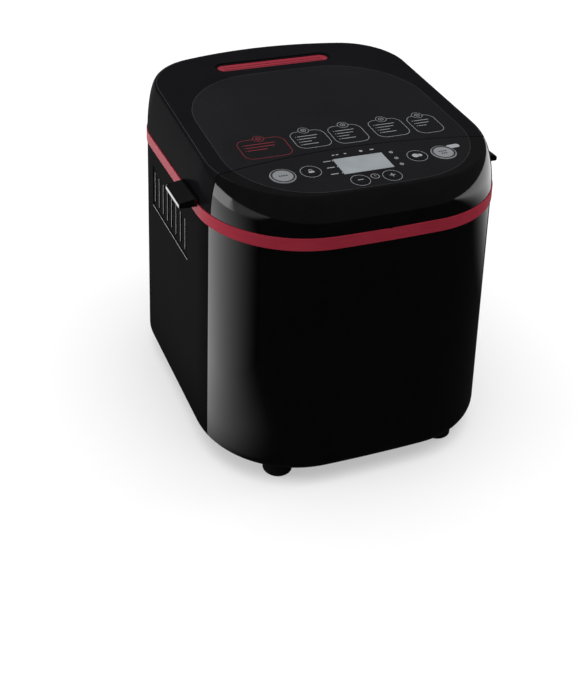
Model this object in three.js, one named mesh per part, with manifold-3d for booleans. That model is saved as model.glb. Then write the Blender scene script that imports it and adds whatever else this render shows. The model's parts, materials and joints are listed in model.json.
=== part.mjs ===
// A bread machine as an assembly: casing, lid, control panel, oven, bread pan and belt drive.
// Millimetres, +Z up, the front faces -Y. The casing's plan is centred on the origin until the
// last line, which moves the whole machine so that its box is centred front to back.
import * as THREE from "three";
import { mergeVertices } from "three/addons/utils/BufferGeometryUtils.js";
import Module from "manifold-3d";

const wasm = await Module();
wasm.setup();

// ---- Clearances ----
const GAP = 0.3; // between pieces that touch
const LID_GAP = 0.8; // under the lid's skirt
const SEAM = 1; // between the lid and the control housing
const RUNNING = 0.3; // between a shaft and its bore
const FAR = 400; // reaches past the machine, for cutting forms

// ---- Casing ----
const WIDTH = 290; // over the trim band
const DEPTH = 335; // over the trim band
const FOOT_HEIGHT = 15;
const CASING_HEIGHT = 232; // from the underside to the trim band
const BAND_HEIGHT = 11.5;
const BAND_PROUD = 0.8; // how far the band stands out of the casing
const WALL = 3;
const FRONT_BULGE = 6; // how far the front face bows out over its width
const FRONT_CORNER = 98;
const REAR_BULGE = 25;
const REAR_CORNER = 75;
const BOTTOM_EDGE = 12; // rounding under the casing
const WRAP_SEAM_Y = -93; // where the glossy front wrap meets the side casing

// ---- Side vents and cord entry ----
const SLOT_COUNT = 8;
const SLOT_PITCH = 14.5;
const SLOT_WIDTH = 3.6;
const SLOT_HEIGHT = 32.5;
const SLOT_BOTTOM = 190;
const SLOT_FRONT_Y = -34.5;
const PANEL_MARGIN = 6; // from the slots to the edge of the shallow panel they stand in
const PANEL_DEPTH = 0.8;
const GLAND_X = 62;
const GLAND_Z = 45;
const GLAND_RADIUS = 8;
const GLAND_BORE = 4;
const GLAND_LIP = 2; // how far the gland's inner lip reaches over its hole

// ---- Top ----
const TOP_RISE = 45; // of the top over the band, at mid depth
const TOP_SLOPE = 0.08; // the top rises towards the back
const TOP_SIDE_INSET = 8; // from the band's outline to the edge of the top
const TOP_FRONT_INSET = 16;
const TOP_REAR_INSET = 17.5;
const TOP_EDGE = [
  [0, 0],
  [0.3, 0.05],
  [0.55, 0.2],
  [0.76, 0.47],
  [1, 1],
]; // shares of the rise and of the inset, from the band up to the edge of the top
const LID_SEAM_Y = -79.3; // the arc between lid and control housing, at the middle
const LID_SEAM_RADIUS = 600;

// ---- Plates on the top ----
const PLATE = 0.9; // thickness of the program plate and the control panel
const PLATE_HALF_WIDTH = 121.5;
const PLATE_FRONT_Y = -149;
const PLATE_REAR_Y = 90;
const PLATE_FRONT_CORNER = 80;
const PLATE_REAR_CORNER = 85;
const PLATE_BULGE = 8;

// ---- Lid vent ----
const VENT_Y = 112.5;
const VENT_LENGTH = 130;
const VENT_WIDTH = 20;
const VENT_DEPTH = 3; // how far the red insert lies below the top
const VENT_SLOT = 4.5;

// ---- Controls ----
const BIG_BUTTON_RADIUS = 12;
const ROUND_BUTTON_RADIUS = 8.8;
const SMALL_BUTTON_RADIUS = 8;
const BUTTONS = [
  ["button_menu", -79, -112.5, BIG_BUTTON_RADIUS],
  ["button_weight", -52, -111.5, ROUND_BUTTON_RADIUS],
  ["button_minus", -15.5, -137, SMALL_BUTTON_RADIUS],
  ["button_plus", 15.5, -137, SMALL_BUTTON_RADIUS],
  ["button_crust", 53.5, -111.5, ROUND_BUTTON_RADIUS],
  ["button_start", 80, -112.5, BIG_BUTTON_RADIUS],
];
const BUTTON_PROUD = 0.6;
const BUTTON_HEIGHT = 5.4;
const BUTTON_FLANGE = 1.2; // how far its foot reaches under the panel
const BUTTON_FOOT = 1; // thickness of that foot
const BUTTON_CHAMFER = 0.5;
const BUTTON_TRAVEL = 1;
const LCD_WIDTH = 49;
const LCD_DEPTH = 27;
const LCD_Y = -110;
const LCD_BORDER = 2.2;
const LENS = 2;
const BOARD_DROP = 12; // from the top down to the control board
const BOARD = 1.6;
const BOARD_HALF_WIDTH = 88;
const BOARD_FRONT_Y = -144;
const BOARD_REAR_Y = -98;
const SWITCH_RADIUS = 3;

// ---- Lid fittings ----
const GRIP_REAR_Y = -34;
const GRIP_FRONT_Y = -75;
const GRIP_REACH = 18; // beyond the trim band
const GRIP_THICK = 5;
const GRIP_LIP = 2; // how far the grip's end reaches below the lid's edge
const GRIP_CHAMFER = 1;
const GRIP_LEAN = 1.5; // how much the grip thickens towards the skirt
const LINER = 1;
const LINER_DOME = 18; // how far the liner's middle lies above its rim
const LINER_RIM = 13;
const LINER_STEP = 3; // from the oven's wall in to the foot of the dome
const LINER_SLANT = 6; // how far the dome's side leans in
const SEAL_HEIGHT = 6;
const SEAL_WIDTH = 5;
const SCREW_RADIUS = 1.6;
const SCREW_HEAD_RADIUS = 3.2;
const SCREW_HEAD = 2;

// ---- Hinge ----
const HINGE_STANDOUT = 2.5; // from the band's rear to the pin's axis
const HINGE_RISE = 5.5; // from the band's top to the pin's axis
const KNUCKLE_RADIUS = 5;
const KNUCKLE_INNER_X = 42; // where the bracket's knuckles start
const KNUCKLE_WIDTH = 20;
const LID_KNUCKLE_WIDTH = 12;
const PIN_RADIUS = 2;
const BRACKET = 2.5;
const BRACKET_DROP = 32; // how far the bracket reaches below the band's top
const BRACKET_WEB = 8; // height of the knuckles' webs below the band's top

// ---- Oven ----
const OVEN_Y = 40;
const OVEN_HALF_WIDTH = 108;
const OVEN_HALF_DEPTH = 94;
const OVEN_CORNER = 30;
const SHEET = 1;
const OVEN_FLANGE = 8;
const DECK = 3;
const DECK_DROP = 5; // from the band's top to the deck's top
const ELEMENT_RADIUS = 3.2;
const ELEMENT_Z = 90;
const ELEMENT_SPACE = 9; // from the oven's wall to the element's centre line
const ELEMENT_BEND = 26;
const ELEMENT_BRACKET_Y = 35; // behind the oven's middle
const TERMINAL_X = 18;
const TERMINAL_REACH = 8; // how far the element's ends stand out of the oven
const TERMINAL_BEND = 8;
const SENSOR_X = 60;
const SENSOR_Z = 150;
const SENSOR_RADIUS = 3;
const SENSOR_LENGTH = 20;

// ---- Chassis ----
const TRAY = 3;
const TRAY_RIM = 12;
const CHASSIS_HEIGHT = 58; // underside of the chassis plate
const CHASSIS = 2;
const CHASSIS_INSET = 12;
const POST_RADIUS = 7;
const POST_X = 100;
const POST_Y = [-75, 108];
const FOOT_RADIUS = 14;
const FOOT_CHAMFER = 1.5;
const FOOT_X = [84, 88]; // front, rear
const FOOT_Y = [-131, 122];

const POWER_BOARD_X = [48, 104];
const POWER_BOARD_Y = [-116, -70];
const POWER_BOARD_RISE = 8; // of the board over the chassis

// ---- Drive ----
const SHAFT_RADIUS = 4;
const BUSH = 3.2; // thickness of the bearing bush
const HOUSING_WALL = 4;
const DOG_RADIUS = 16;
const DOG_PLATE = 4;
const DOG_LUG = 6.4;
const DOG_PLAY = 0.6; // between one dog's lugs and the other's plate
const DOG_SINK = 0.5; // how deep the lugs run into their plate
const PULLEY_Z = 24;
const PULLEY_HEIGHT = 12;
const PULLEY_RADIUS = 45;
const MOTOR_PULLEY_RADIUS = 9;
const PULLEY_FLANGE = 1.4;
const PULLEY_FLANGE_REACH = 4;
const BELT = 2.5;
const MOTOR_Y = -100;
const MOTOR_RADIUS = 30;
const MOTOR_HEIGHT = 72;
const MOTOR_SHAFT_RADIUS = 3;

// ---- Pan ----
const PAN_HALF_WIDTH = 88;
const PAN_HALF_DEPTH = 66;
const PAN_CORNER = 24;
const PAN_HEIGHT = 145;
const PAN_WALL = 2;
const PAN_TAPER = 5;
const PAN_RIM = 4;
const PAN_EDGE = 3; // chamfer round the pan's underside
const PAN_SEAT_HEIGHT = 20;
const PAN_SEAT_RADIUS = 52;
const PAN_SEAT_STEP = 3; // thickness of the seat's flange, and half its reach
const PAN_FOOT_RADIUS = 39;
const PAN_FOOT_WALL = 4;
const PAN_FOOT_HEIGHT = 13.7;
const PAN_FOOT_PLAY = 0.7; // round the foot ring in its seat
const HANDLE_RADIUS = 2;
const HANDLE_REACH = 78;
const HANDLE_BEND = 18;
const EAR_DROP = 10; // from the pan's rim to the handle's pivot
const EAR_HALF_WIDTH = 6;
const CLIP_RISE = 22; // of the clips over the pan's underside
const CLIP_FOOT = 13;
const CLIP_WIDTH = 16;
const CLIP_LEAN = 0.2; // share of the pan's taper that the clips follow
const SHAFT_SEAL = 2.4; // thickness of the seal's sleeve round the paddle's shaft
const SHAFT_SEAL_RISE = 5; // of the seal over the pan's floor
const PADDLE_REACH = 44;
const PADDLE_RISE = 30;
const PADDLE_BLADE = 4;
const PADDLE_HUB_RADIUS = 9;
const PADDLE_HUB_HEIGHT = 15;
const PADDLE_LEAN = 78; // degrees between the blade and the pan's floor

// ---- Heights worked out from the sizes above ----
const BAND_BOTTOM = FOOT_HEIGHT + CASING_HEIGHT;
const BAND_TOP = BAND_BOTTOM + BAND_HEIGHT;
const TOP_MID = BAND_TOP + TOP_RISE;
const DECK_TOP = BAND_TOP - DECK_DROP;
const FLANGE_TOP = DECK_TOP + GAP + SHEET;
const LINER_RIM_Z = FLANGE_TOP + 2 * GAP + SEAL_HEIGHT;
const CHASSIS_TOP = CHASSIS_HEIGHT + CHASSIS;
const OVEN_FLOOR = CHASSIS_TOP + GAP + SHEET;
const SEAT_TOP = OVEN_FLOOR + GAP + PAN_SEAT_HEIGHT;
const PAN_BOTTOM = SEAT_TOP + GAP;
const PAN_TOP = PAN_BOTTOM + PAN_HEIGHT;
const HINGE_Y = DEPTH / 2 + HINGE_STANDOUT;
const HINGE_Z = BAND_TOP + HINGE_RISE;
const LINER_SCREW_X = OVEN_HALF_WIDTH + LINER_RIM - SCREW_HEAD_RADIUS - 0.5;
const BUSH_RADIUS = SHAFT_RADIUS + RUNNING + BUSH;
const BUSH_BOTTOM = PULLEY_Z + PULLEY_HEIGHT + 4;
const SEAL_RADIUS = SHAFT_RADIUS + RUNNING + SHAFT_SEAL;
const DRIVE_DOG_Z = OVEN_FLOOR + 2.5;
const PAN_DOG_Z = DRIVE_DOG_Z + DOG_PLATE + DOG_LUG + DOG_PLAY;

// ---- Materials ----
const finish = (color, roughness, metalness = 0) =>
  new THREE.MeshStandardMaterial({ color, roughness, metalness });
const GLOSSY_BLACK = finish(0x0a0a0b, 0.12);
const SATIN_BLACK = finish(0x121213, 0.42);
const PLATE_BLACK = finish(0x1c1c1f, 0.3);
const RED_METAL = finish(0x9c2238, 0.3, 0.8);
const RED_PLASTIC = finish(0xa52c42, 0.4);
const SILVER = finish(0xb9bcc0, 0.35, 0.3);
const LCD_GREY = finish(0x9da2a7, 0.25);
const BOARD_GREEN = finish(0x1e5a38, 0.6);
const STEEL = finish(0xb8bbbf, 0.35, 1);
const ALUMINIUM = finish(0xa8abae, 0.45, 1);
const NON_STICK = finish(0x2b2b2d, 0.5);
const INNER_PLASTIC = finish(0x2a2a2c, 0.6);
const RUBBER = finish(0x18181a, 0.85);
const SILICONE = finish(0x8c3a34, 0.7);
const BRONZE = finish(0x9a6b35, 0.4, 1);

// ---- Solids ----

// A closed three.js geometry as a manifold-3d solid.
function solid(geometry) {
  const bare = geometry.clone();
  bare.deleteAttribute("normal");
  bare.deleteAttribute("uv");
  const merged = mergeVertices(bare, 1e-4);
  const corners = [];
  for (let i = 0; i < merged.index.count; i += 3) {
    const [a, b, c] = [0, 1, 2].map((k) => merged.index.getX(i + k));
    if (a !== b && b !== c && c !== a) corners.push(a, b, c);
  }
  return new wasm.Manifold(
    new wasm.Mesh({
      numProp: 3,
      vertProperties: merged.attributes.position.array,
      triVerts: new Uint32Array(corners),
    }),
  );
}

function geometryOf(made) {
  const mesh = made.getMesh();
  const geometry = new THREE.BufferGeometry();
  geometry.setAttribute("position", new THREE.BufferAttribute(mesh.vertProperties, 3));
  geometry.setIndex(new THREE.BufferAttribute(mesh.triVerts, 1));
  return geometry;
}

const ordered = (a, b) => (a < b ? [a, b] : [b, a]);
const join = (first, ...others) => others.reduce((sum, other) => sum.add(other), first);
const cut = (first, ...others) => others.reduce((left, other) => left.subtract(other), first);

function box(x0, x1, y0, y1, z0, z1) {
  const geometry = new THREE.BoxGeometry(x1 - x0, y1 - y0, z1 - z0);
  return solid(geometry.translate((x0 + x1) / 2, (y0 + y1) / 2, (z0 + z1) / 2));
}

// An upright round bar.
function rod(x, y, z0, z1, radius, sides = 24) {
  const geometry = new THREE.CylinderGeometry(radius, radius, z1 - z0, sides);
  return solid(geometry.rotateX(Math.PI / 2).translate(x, y, (z0 + z1) / 2));
}

function rodAlongX(x0, x1, y, z, radius, sides = 20) {
  const geometry = new THREE.CylinderGeometry(radius, radius, x1 - x0, sides);
  return solid(geometry.rotateZ(Math.PI / 2).translate((x0 + x1) / 2, y, z));
}

function rodAlongY(x, y0, y1, z, radius, sides = 20) {
  const geometry = new THREE.CylinderGeometry(radius, radius, y1 - y0, sides);
  return solid(geometry.translate(x, (y0 + y1) / 2, z));
}

// A turned piece about the upright axis through (x, y). The profile is [radius, height] pairs.
function turned(x, y, profile, sides = 32) {
  const points = profile.map(([r, z]) => new THREE.Vector2(r, z));
  const geometry = new THREE.LatheGeometry(points, sides);
  return solid(geometry.rotateX(Math.PI / 2).translate(x, y, 0));
}

// A sleeve about the upright axis, listed anticlockwise in radius and height.
function sleeve(x, y, inner, outer, z0, z1, sides = 32) {
  const profile = [[inner, z0], [outer, z0], [outer, z1], [inner, z1], [inner, z0]];
  return turned(x, y, profile, sides);
}

function prism(shape, z0, z1, curveSegments = 12) {
  const settings = { depth: z1 - z0, bevelEnabled: false, curveSegments };
  return new THREE.ExtrudeGeometry(shape, settings).translate(0, 0, z0);
}

// Joins outlines into a closed skin: each is a list of as many points, anticlockwise from above.
// A looped skin closes on itself, as a wall does. Otherwise both ends are closed at their centres.
function skin(outlines, looped = false) {
  const count = outlines[0].length;
  const points = outlines.flat();
  const corners = [];
  const at = (ring, k) => (ring % outlines.length) * count + (k % count);
  const bands = looped ? outlines.length : outlines.length - 1;
  for (let ring = 0; ring < bands; ring += 1) {
    for (let k = 0; k < count; k += 1) {
      corners.push(at(ring, k), at(ring, k + 1), at(ring + 1, k + 1));
      corners.push(at(ring, k), at(ring + 1, k + 1), at(ring + 1, k));
    }
  }
  if (!looped) {
    const last = outlines.length - 1;
    for (const ring of [0, last]) {
      const centre = points.length;
      const middle = new THREE.Vector3();
      outlines[ring].forEach((point) => middle.add(point));
      points.push(middle.divideScalar(count));
      for (let k = 0; k < count; k += 1) {
        const [a, b] = ring ? [at(ring, k), at(ring, k + 1)] : [at(ring, k + 1), at(ring, k)];
        corners.push(centre, a, b);
      }
    }
  }
  const geometry = new THREE.BufferGeometry().setFromPoints(points);
  geometry.setIndex(corners);
  return solid(geometry);
}

// A section drawn in x and z for the right-hand side, run from y0 to y1, for either hand.
function sideProfile(shape, y0, y1, hand) {
  const geometry = new THREE.ExtrudeGeometry(shape, { depth: y1 - y0, bevelEnabled: false });
  geometry.rotateX(Math.PI / 2).translate(0, y1, 0);
  if (hand < 0) geometry.rotateZ(Math.PI).translate(0, y0 + y1, 0);
  return solid(geometry);
}

const arc = (x, y, radius, start, end, steps) =>
  new THREE.EllipseCurve(x, y, radius, radius, start, end).getPoints(steps).slice(0, -1);

// The outline of the machine from above: bowed front and rear joined to straight sides by corners.
function outline(plan, height, steps = 8) {
  const { side, front, rear, frontBulge, frontCorner, rearBulge, rearCorner } = plan;
  const frontRadius = (side ** 2 + frontBulge ** 2) / (2 * frontBulge);
  const rearRadius = (side ** 2 + rearBulge ** 2) / (2 * rearBulge);
  const frontX = side - frontCorner;
  const rearX = side - rearCorner;
  const frontY = Math.sqrt((frontRadius - frontCorner) ** 2 - frontX ** 2);
  const rearY = Math.sqrt((rearRadius - rearCorner) ** 2 - rearX ** 2);
  const frontTurn = Math.atan2(-frontY, frontX);
  const rearTurn = Math.atan2(rearY, rearX);
  const cornerFrontY = front + frontRadius - frontY;
  const cornerRearY = rear - rearRadius + rearY;
  const pi = Math.PI;
  const flat = [
    ...arc(0, front + frontRadius, frontRadius, -pi - frontTurn, frontTurn, steps - 2),
    ...arc(frontX, cornerFrontY, frontCorner, frontTurn, 0, steps),
    new THREE.Vector2(side, cornerFrontY),
    ...arc(rearX, cornerRearY, rearCorner, 0, rearTurn, steps),
    ...arc(0, rear - rearRadius, rearRadius, rearTurn, pi - rearTurn, steps - 2),
    ...arc(-rearX, cornerRearY, rearCorner, pi - rearTurn, pi, steps),
    new THREE.Vector2(-side, cornerRearY),
    ...arc(-frontX, cornerFrontY, frontCorner, -pi, -pi - frontTurn, steps),
  ];
  return flat.map(({ x, y }) => new THREE.Vector3(x, y, height(y)));
}

// The casing's outline moved inwards, by one distance or by one each for side, front and rear.
function casing(inset, height) {
  const [side, front, rear] = Array.isArray(inset) ? inset : [inset, inset, inset];
  const plan = {
    side: WIDTH / 2 - side,
    front: -DEPTH / 2 + front,
    rear: DEPTH / 2 - rear,
    frontBulge: FRONT_BULGE,
    frontCorner: FRONT_CORNER - (side + front) / 2,
    rearBulge: REAR_BULGE,
    rearCorner: REAR_CORNER - (side + rear) / 2,
  };
  return outline(plan, typeof height === "function" ? height : () => height);
}

function roundedBox(halfWidth, halfDepth, corner, z, y = OVEN_Y, steps = 5) {
  const x = halfWidth - corner;
  const rise = halfDepth - corner;
  const turn = Math.PI / 2;
  const flat = [
    [x, y - rise, -turn],
    [x, y + rise, 0],
    [-x, y + rise, turn],
    [-x, y - rise, 2 * turn],
  ].flatMap(([cx, cy, start]) =>
    new THREE.EllipseCurve(cx, cy, corner, corner, start, start + turn).getPoints(steps),
  );
  return flat.map((point) => new THREE.Vector3(point.x, point.y, z));
}

// The oven's outline from above, grown outwards.
function ovenRing(grow, z) {
  return roundedBox(OVEN_HALF_WIDTH + grow, OVEN_HALF_DEPTH + grow, OVEN_CORNER + grow, z);
}

const topAt = (y) => TOP_MID + TOP_SLOPE * y;

// Where the top's own frame lies: its x and y run along the sloping top, from mid depth.
const topFrame = new THREE.Matrix4()
  .makeTranslation(0, 0, TOP_MID)
  .multiply(new THREE.Matrix4().makeRotationX(Math.atan(TOP_SLOPE)));
const onTop = (geometry) => solid(geometry.clone().applyMatrix4(topFrame));

// ---- Casing pieces ----

// The wall under the band, with its rounded lower edge.
function lowerWall() {
  const outer = BAND_PROUD;
  const centreInset = outer + BOTTOM_EDGE;
  const centreZ = FOOT_HEIGHT + BOTTOM_EDGE;
  const quarter = [0, 30, 60, 90].map(THREE.MathUtils.degToRad);
  const edge = (radius) =>
    quarter.map((a) =>
      casing(centreInset - radius * Math.sin(a), centreZ - radius * Math.cos(a)),
    );
  const top = BAND_BOTTOM - GAP;
  const upper = [casing(outer, top), casing(outer + WALL, top)];
  return skin([...edge(BOTTOM_EDGE), ...upper, ...edge(BOTTOM_EDGE - WALL).reverse()], true);
}

function frontWrap() {
  return lowerWall().intersect(box(-FAR, FAR, -FAR, WRAP_SEAM_Y - GAP / 2, -FAR, FAR));
}

// The vent slots stand in a shallow panel on each side.
function rearCasing() {
  const wall = lowerWall().intersect(box(-FAR, FAR, WRAP_SEAM_Y + GAP / 2, FAR, -FAR, FAR));
  const face = WIDTH / 2 - BAND_PROUD;
  const rearSlotY = SLOT_FRONT_Y + (SLOT_COUNT - 1) * SLOT_PITCH;
  const slotTop = SLOT_BOTTOM + SLOT_HEIGHT;
  const [panelLow, panelHigh] = [SLOT_BOTTOM - PANEL_MARGIN, slotTop + PANEL_MARGIN];
  const [panelFront, panelRear] = [SLOT_FRONT_Y - PANEL_MARGIN, rearSlotY + SLOT_WIDTH + PANEL_MARGIN];
  const holes = [rodAlongY(GLAND_X, 0, FAR, GLAND_Z, GLAND_RADIUS + GAP)];
  for (const hand of [-1, 1]) {
    const [x0, x1] = ordered(hand * (face - PANEL_DEPTH), hand * (face + WALL));
    holes.push(box(x0, x1, panelFront, panelRear, panelLow, panelHigh));
    for (let k = 0; k < SLOT_COUNT; k += 1) {
      const x = hand * face;
      const y = SLOT_FRONT_Y + k * SLOT_PITCH;
      holes.push(box(x - 2 * WALL, x + 2 * WALL, y, y + SLOT_WIDTH, SLOT_BOTTOM, slotTop));
    }
  }
  return cut(wall, ...holes);
}

function rearFaceY(x) {
  const radius = ((WIDTH / 2) ** 2 + REAR_BULGE ** 2) / (2 * REAR_BULGE);
  return DEPTH / 2 - radius + Math.sqrt(radius ** 2 - x ** 2);
}

function cordGland() {
  const face = rearFaceY(GLAND_X) - BAND_PROUD;
  const body = rodAlongY(GLAND_X, face - 3 * WALL, face + 2, GLAND_Z, GLAND_RADIUS);
  const lipRadius = GLAND_RADIUS + GLAND_LIP;
  const lipFront = face - 3 * WALL - 1;
  const lip = rodAlongY(GLAND_X, lipFront, lipFront + WALL, GLAND_Z, lipRadius);
  return cut(join(body, lip), rodAlongY(GLAND_X, 0, FAR, GLAND_Z, GLAND_BORE));
}

function trimBand() {
  const rings = [[0, BAND_BOTTOM], [0, BAND_TOP], [WALL, BAND_TOP], [WALL, BAND_BOTTOM]];
  return skin(rings.map(([inset, z]) => casing(inset, z)), true);
}

// ---- The top: one domed form, cut by the seam into the lid and the control housing ----

function topForm(wall, bottom) {
  const rings = TOP_EDGE.map(([rise, inward]) => {
    const inset = [TOP_SIDE_INSET, TOP_FRONT_INSET, TOP_REAR_INSET].map(
      (full) => BAND_PROUD + wall + (full - BAND_PROUD) * inward,
    );
    return casing(inset, (y) => bottom + (topAt(y) - wall - bottom) * rise);
  });
  return skin(rings);
}

// Everything in front of the seam, moved forward by the setback.
function seamCutter(setback, z0 = -FAR, z1 = 2 * FAR) {
  const radius = LID_SEAM_RADIUS - setback;
  const reach = Math.asin((WIDTH / 2 + WALL) / radius);
  const shape = new THREE.Shape();
  const centreY = LID_SEAM_Y - LID_SEAM_RADIUS;
  shape.absarc(0, centreY, radius, Math.PI / 2 - reach, Math.PI / 2 + reach, false);
  shape.lineTo(-FAR, centreY + FAR);
  shape.lineTo(-FAR, -FAR);
  shape.lineTo(FAR, -FAR);
  shape.lineTo(FAR, centreY + FAR);
  return solid(prism(shape, z0, z1, 16));
}

// A plate on the top, from the given depth up to the given height over it.
function topPlate(grow, depth, height) {
  const plan = {
    side: PLATE_HALF_WIDTH + grow,
    front: PLATE_FRONT_Y - grow,
    rear: PLATE_REAR_Y + grow,
    frontBulge: PLATE_BULGE,
    frontCorner: PLATE_FRONT_CORNER + grow,
    rearBulge: PLATE_BULGE,
    rearCorner: PLATE_REAR_CORNER + grow,
  };
  return skin([outline(plan, (y) => topAt(y) - depth), outline(plan, (y) => topAt(y) + height)]);
}

function stadium(length, width) {
  const shape = new THREE.Shape();
  const reach = (length - width) / 2;
  shape.absarc(reach, 0, width / 2, -Math.PI / 2, Math.PI / 2, false);
  shape.absarc(-reach, 0, width / 2, Math.PI / 2, (3 * Math.PI) / 2, false);
  return shape;
}

function ventForm(length, width, bottom, top) {
  return onTop(prism(stadium(length, width), bottom, top, 8).translate(0, VENT_Y, 0));
}

// The round and square holes for the buttons and the LCD, cut along the top's own upright.
function controlHoles() {
  const holes = BUTTONS.map(([, x, y, radius]) => {
    const round = new THREE.CylinderGeometry(radius + GAP, radius + GAP, 4 * WALL, 24);
    return onTop(round.rotateX(Math.PI / 2).translate(x, y, 0));
  });
  const square = new THREE.BoxGeometry(LCD_WIDTH + 2 * GAP, LCD_DEPTH + 2 * GAP, 4 * WALL);
  return [...holes, onTop(square.translate(0, LCD_Y, 0))];
}

function frontFascia() {
  const bottom = BAND_TOP + GAP;
  const outer = topForm(0, bottom).intersect(seamCutter(SEAM / 2));
  const hollow = topForm(WALL, bottom - GAP).intersect(seamCutter(SEAM / 2 + WALL));
  const wall = cut(seamCutter(SEAM / 2, DECK_TOP + GAP, bottom + WALL), seamCutter(SEAM / 2 + WALL));
  const insideBand = WALL + BAND_PROUD + GAP;
  const inside = skin([casing(insideBand, DECK_TOP), casing(insideBand, TOP_MID)]);
  const shell = join(cut(outer, hollow), wall.intersect(inside));
  return cut(shell, topPlate(GAP, PLATE + GAP, WALL), ...controlHoles());
}

function controlPanel() {
  const plate = topPlate(0, PLATE, 0).intersect(seamCutter(SEAM / 2));
  return cut(plate, ...controlHoles());
}

function programPlate() {
  return topPlate(0, PLATE, 0).subtract(seamCutter(-SEAM / 2));
}

function lidShell() {
  const bottom = BAND_TOP + LID_GAP;
  const outer = topForm(0, bottom).subtract(seamCutter(-SEAM / 2));
  const hollow = topForm(WALL, bottom - GAP).subtract(seamCutter(-SEAM / 2 - WALL));
  const shell = cut(outer, hollow, topPlate(GAP, PLATE + GAP, WALL));
  const added = [];
  const holes = [
    ventForm(VENT_LENGTH, VENT_WIDTH, -2 * WALL, 2 * WALL),
    rodAlongX(-FAR, FAR, HINGE_Y, HINGE_Z, PIN_RADIUS + RUNNING, 16),
  ];
  const bossTop = topAt(OVEN_Y) - WALL + 1;
  const screwTop = LINER_RIM_Z + 4 * LINER + SCREW_HEAD_RADIUS;
  for (const hand of [-1, 1]) {
    const x = hand * LINER_SCREW_X;
    added.push(rod(x, OVEN_Y, LINER_RIM_Z + LINER + GAP, bossTop, 2 * SCREW_HEAD_RADIUS, 16));
    holes.push(rod(x, OVEN_Y, 0, screwTop, SCREW_RADIUS + GAP, 12));
    const outerX = hand * (KNUCKLE_INNER_X - 2 * GAP);
    const innerX = outerX - hand * LID_KNUCKLE_WIDTH;
    const [x0, x1] = ordered(innerX, outerX);
    added.push(rodAlongX(x0, x1, HINGE_Y, HINGE_Z, KNUCKLE_RADIUS));
    const web = box(x0, x1, rearFaceY(innerX) - 2 * WALL, HINGE_Y, HINGE_Z, HINGE_Z + KNUCKLE_RADIUS);
    added.push(web.subtract(topForm(WALL, bottom)));
  }
  return cut(join(shell, ...added), ...holes);
}

// The red insert: a plate with two long slots below the vent's rim, and a flange under the lid.
function ventInsert() {
  const under = -WALL - GAP;
  const plate = ventForm(VENT_LENGTH - 2 * GAP, VENT_WIDTH - 2 * GAP, under - 1, -VENT_DEPTH + 1);
  const flange = ventForm(VENT_LENGTH + 2 * WALL, VENT_WIDTH + 2 * WALL, under - WALL, under - 0.2);
  const slots = [-1, 1].map((hand) => {
    const slot = prism(stadium(VENT_LENGTH - VENT_WIDTH, VENT_SLOT), -4 * WALL, WALL, 4);
    return onTop(slot.translate(0, VENT_Y + hand * VENT_SLOT, 0));
  });
  return cut(join(plate, flange), ...slots);
}

// A lifting grip on the lid's skirt: a wedge that thins outwards over the band.
function grip(hand) {
  const skirt = WIDTH / 2 - BAND_PROUD + GAP;
  const band = WIDTH / 2 + GAP;
  const outer = WIDTH / 2 + GRIP_REACH;
  const low = BAND_TOP + LID_GAP;
  const shape = new THREE.Shape();
  const tip = low + GRIP_THICK - GRIP_LIP;
  shape.moveTo(skirt, low);
  shape.lineTo(band, low);
  shape.lineTo(band, low - GRIP_LIP);
  shape.lineTo(outer - GRIP_CHAMFER, low - GRIP_LIP);
  shape.lineTo(outer, low - GRIP_LIP + GRIP_CHAMFER);
  shape.lineTo(outer, tip - GRIP_CHAMFER);
  shape.lineTo(outer - 2 * GRIP_CHAMFER, tip + GRIP_CHAMFER);
  shape.lineTo(skirt, low + GRIP_THICK + GRIP_LEAN);
  return sideProfile(shape, GRIP_FRONT_Y, GRIP_REAR_Y, hand);
}

// The metal dish under the lid, domed over the oven, with a flat rim on the seal.
function lidLiner() {
  const base = LINER_RIM_Z;
  const dome = base + LINER_DOME;
  const made = skin([
    ovenRing(-LINER_STEP - LINER_SLANT, dome),
    ovenRing(-LINER_STEP, base),
    ovenRing(LINER_RIM, base),
    ovenRing(LINER_RIM, base + LINER),
    ovenRing(-LINER_STEP + LINER, base + LINER),
    ovenRing(-LINER_STEP - LINER_SLANT + LINER, dome + LINER),
  ]);
  const front = seamCutter(-SEAM / 2 - WALL - GAP);
  const screwHole = (x) => rod(x, OVEN_Y, 0, FAR, SCREW_RADIUS + GAP, 12);
  return cut(made, front, screwHole(-LINER_SCREW_X), screwHole(LINER_SCREW_X));
}

function lidSeal() {
  const base = FLANGE_TOP + GAP;
  const rings = [[0, 0], [SEAL_WIDTH, 0], [SEAL_WIDTH, SEAL_HEIGHT], [0, SEAL_HEIGHT]];
  return skin(rings.map(([grow, rise]) => ovenRing(grow, base + rise)), true);
}

function screw(x, y, head, length) {
  return turned(x, y, [
    [0, head - SCREW_HEAD],
    [SCREW_HEAD_RADIUS, head - SCREW_HEAD],
    [SCREW_HEAD_RADIUS, head],
    [SCREW_RADIUS, head],
    [SCREW_RADIUS, head + length],
    [0, head + length],
  ], 12);
}

// ---- Hinge ----

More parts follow.
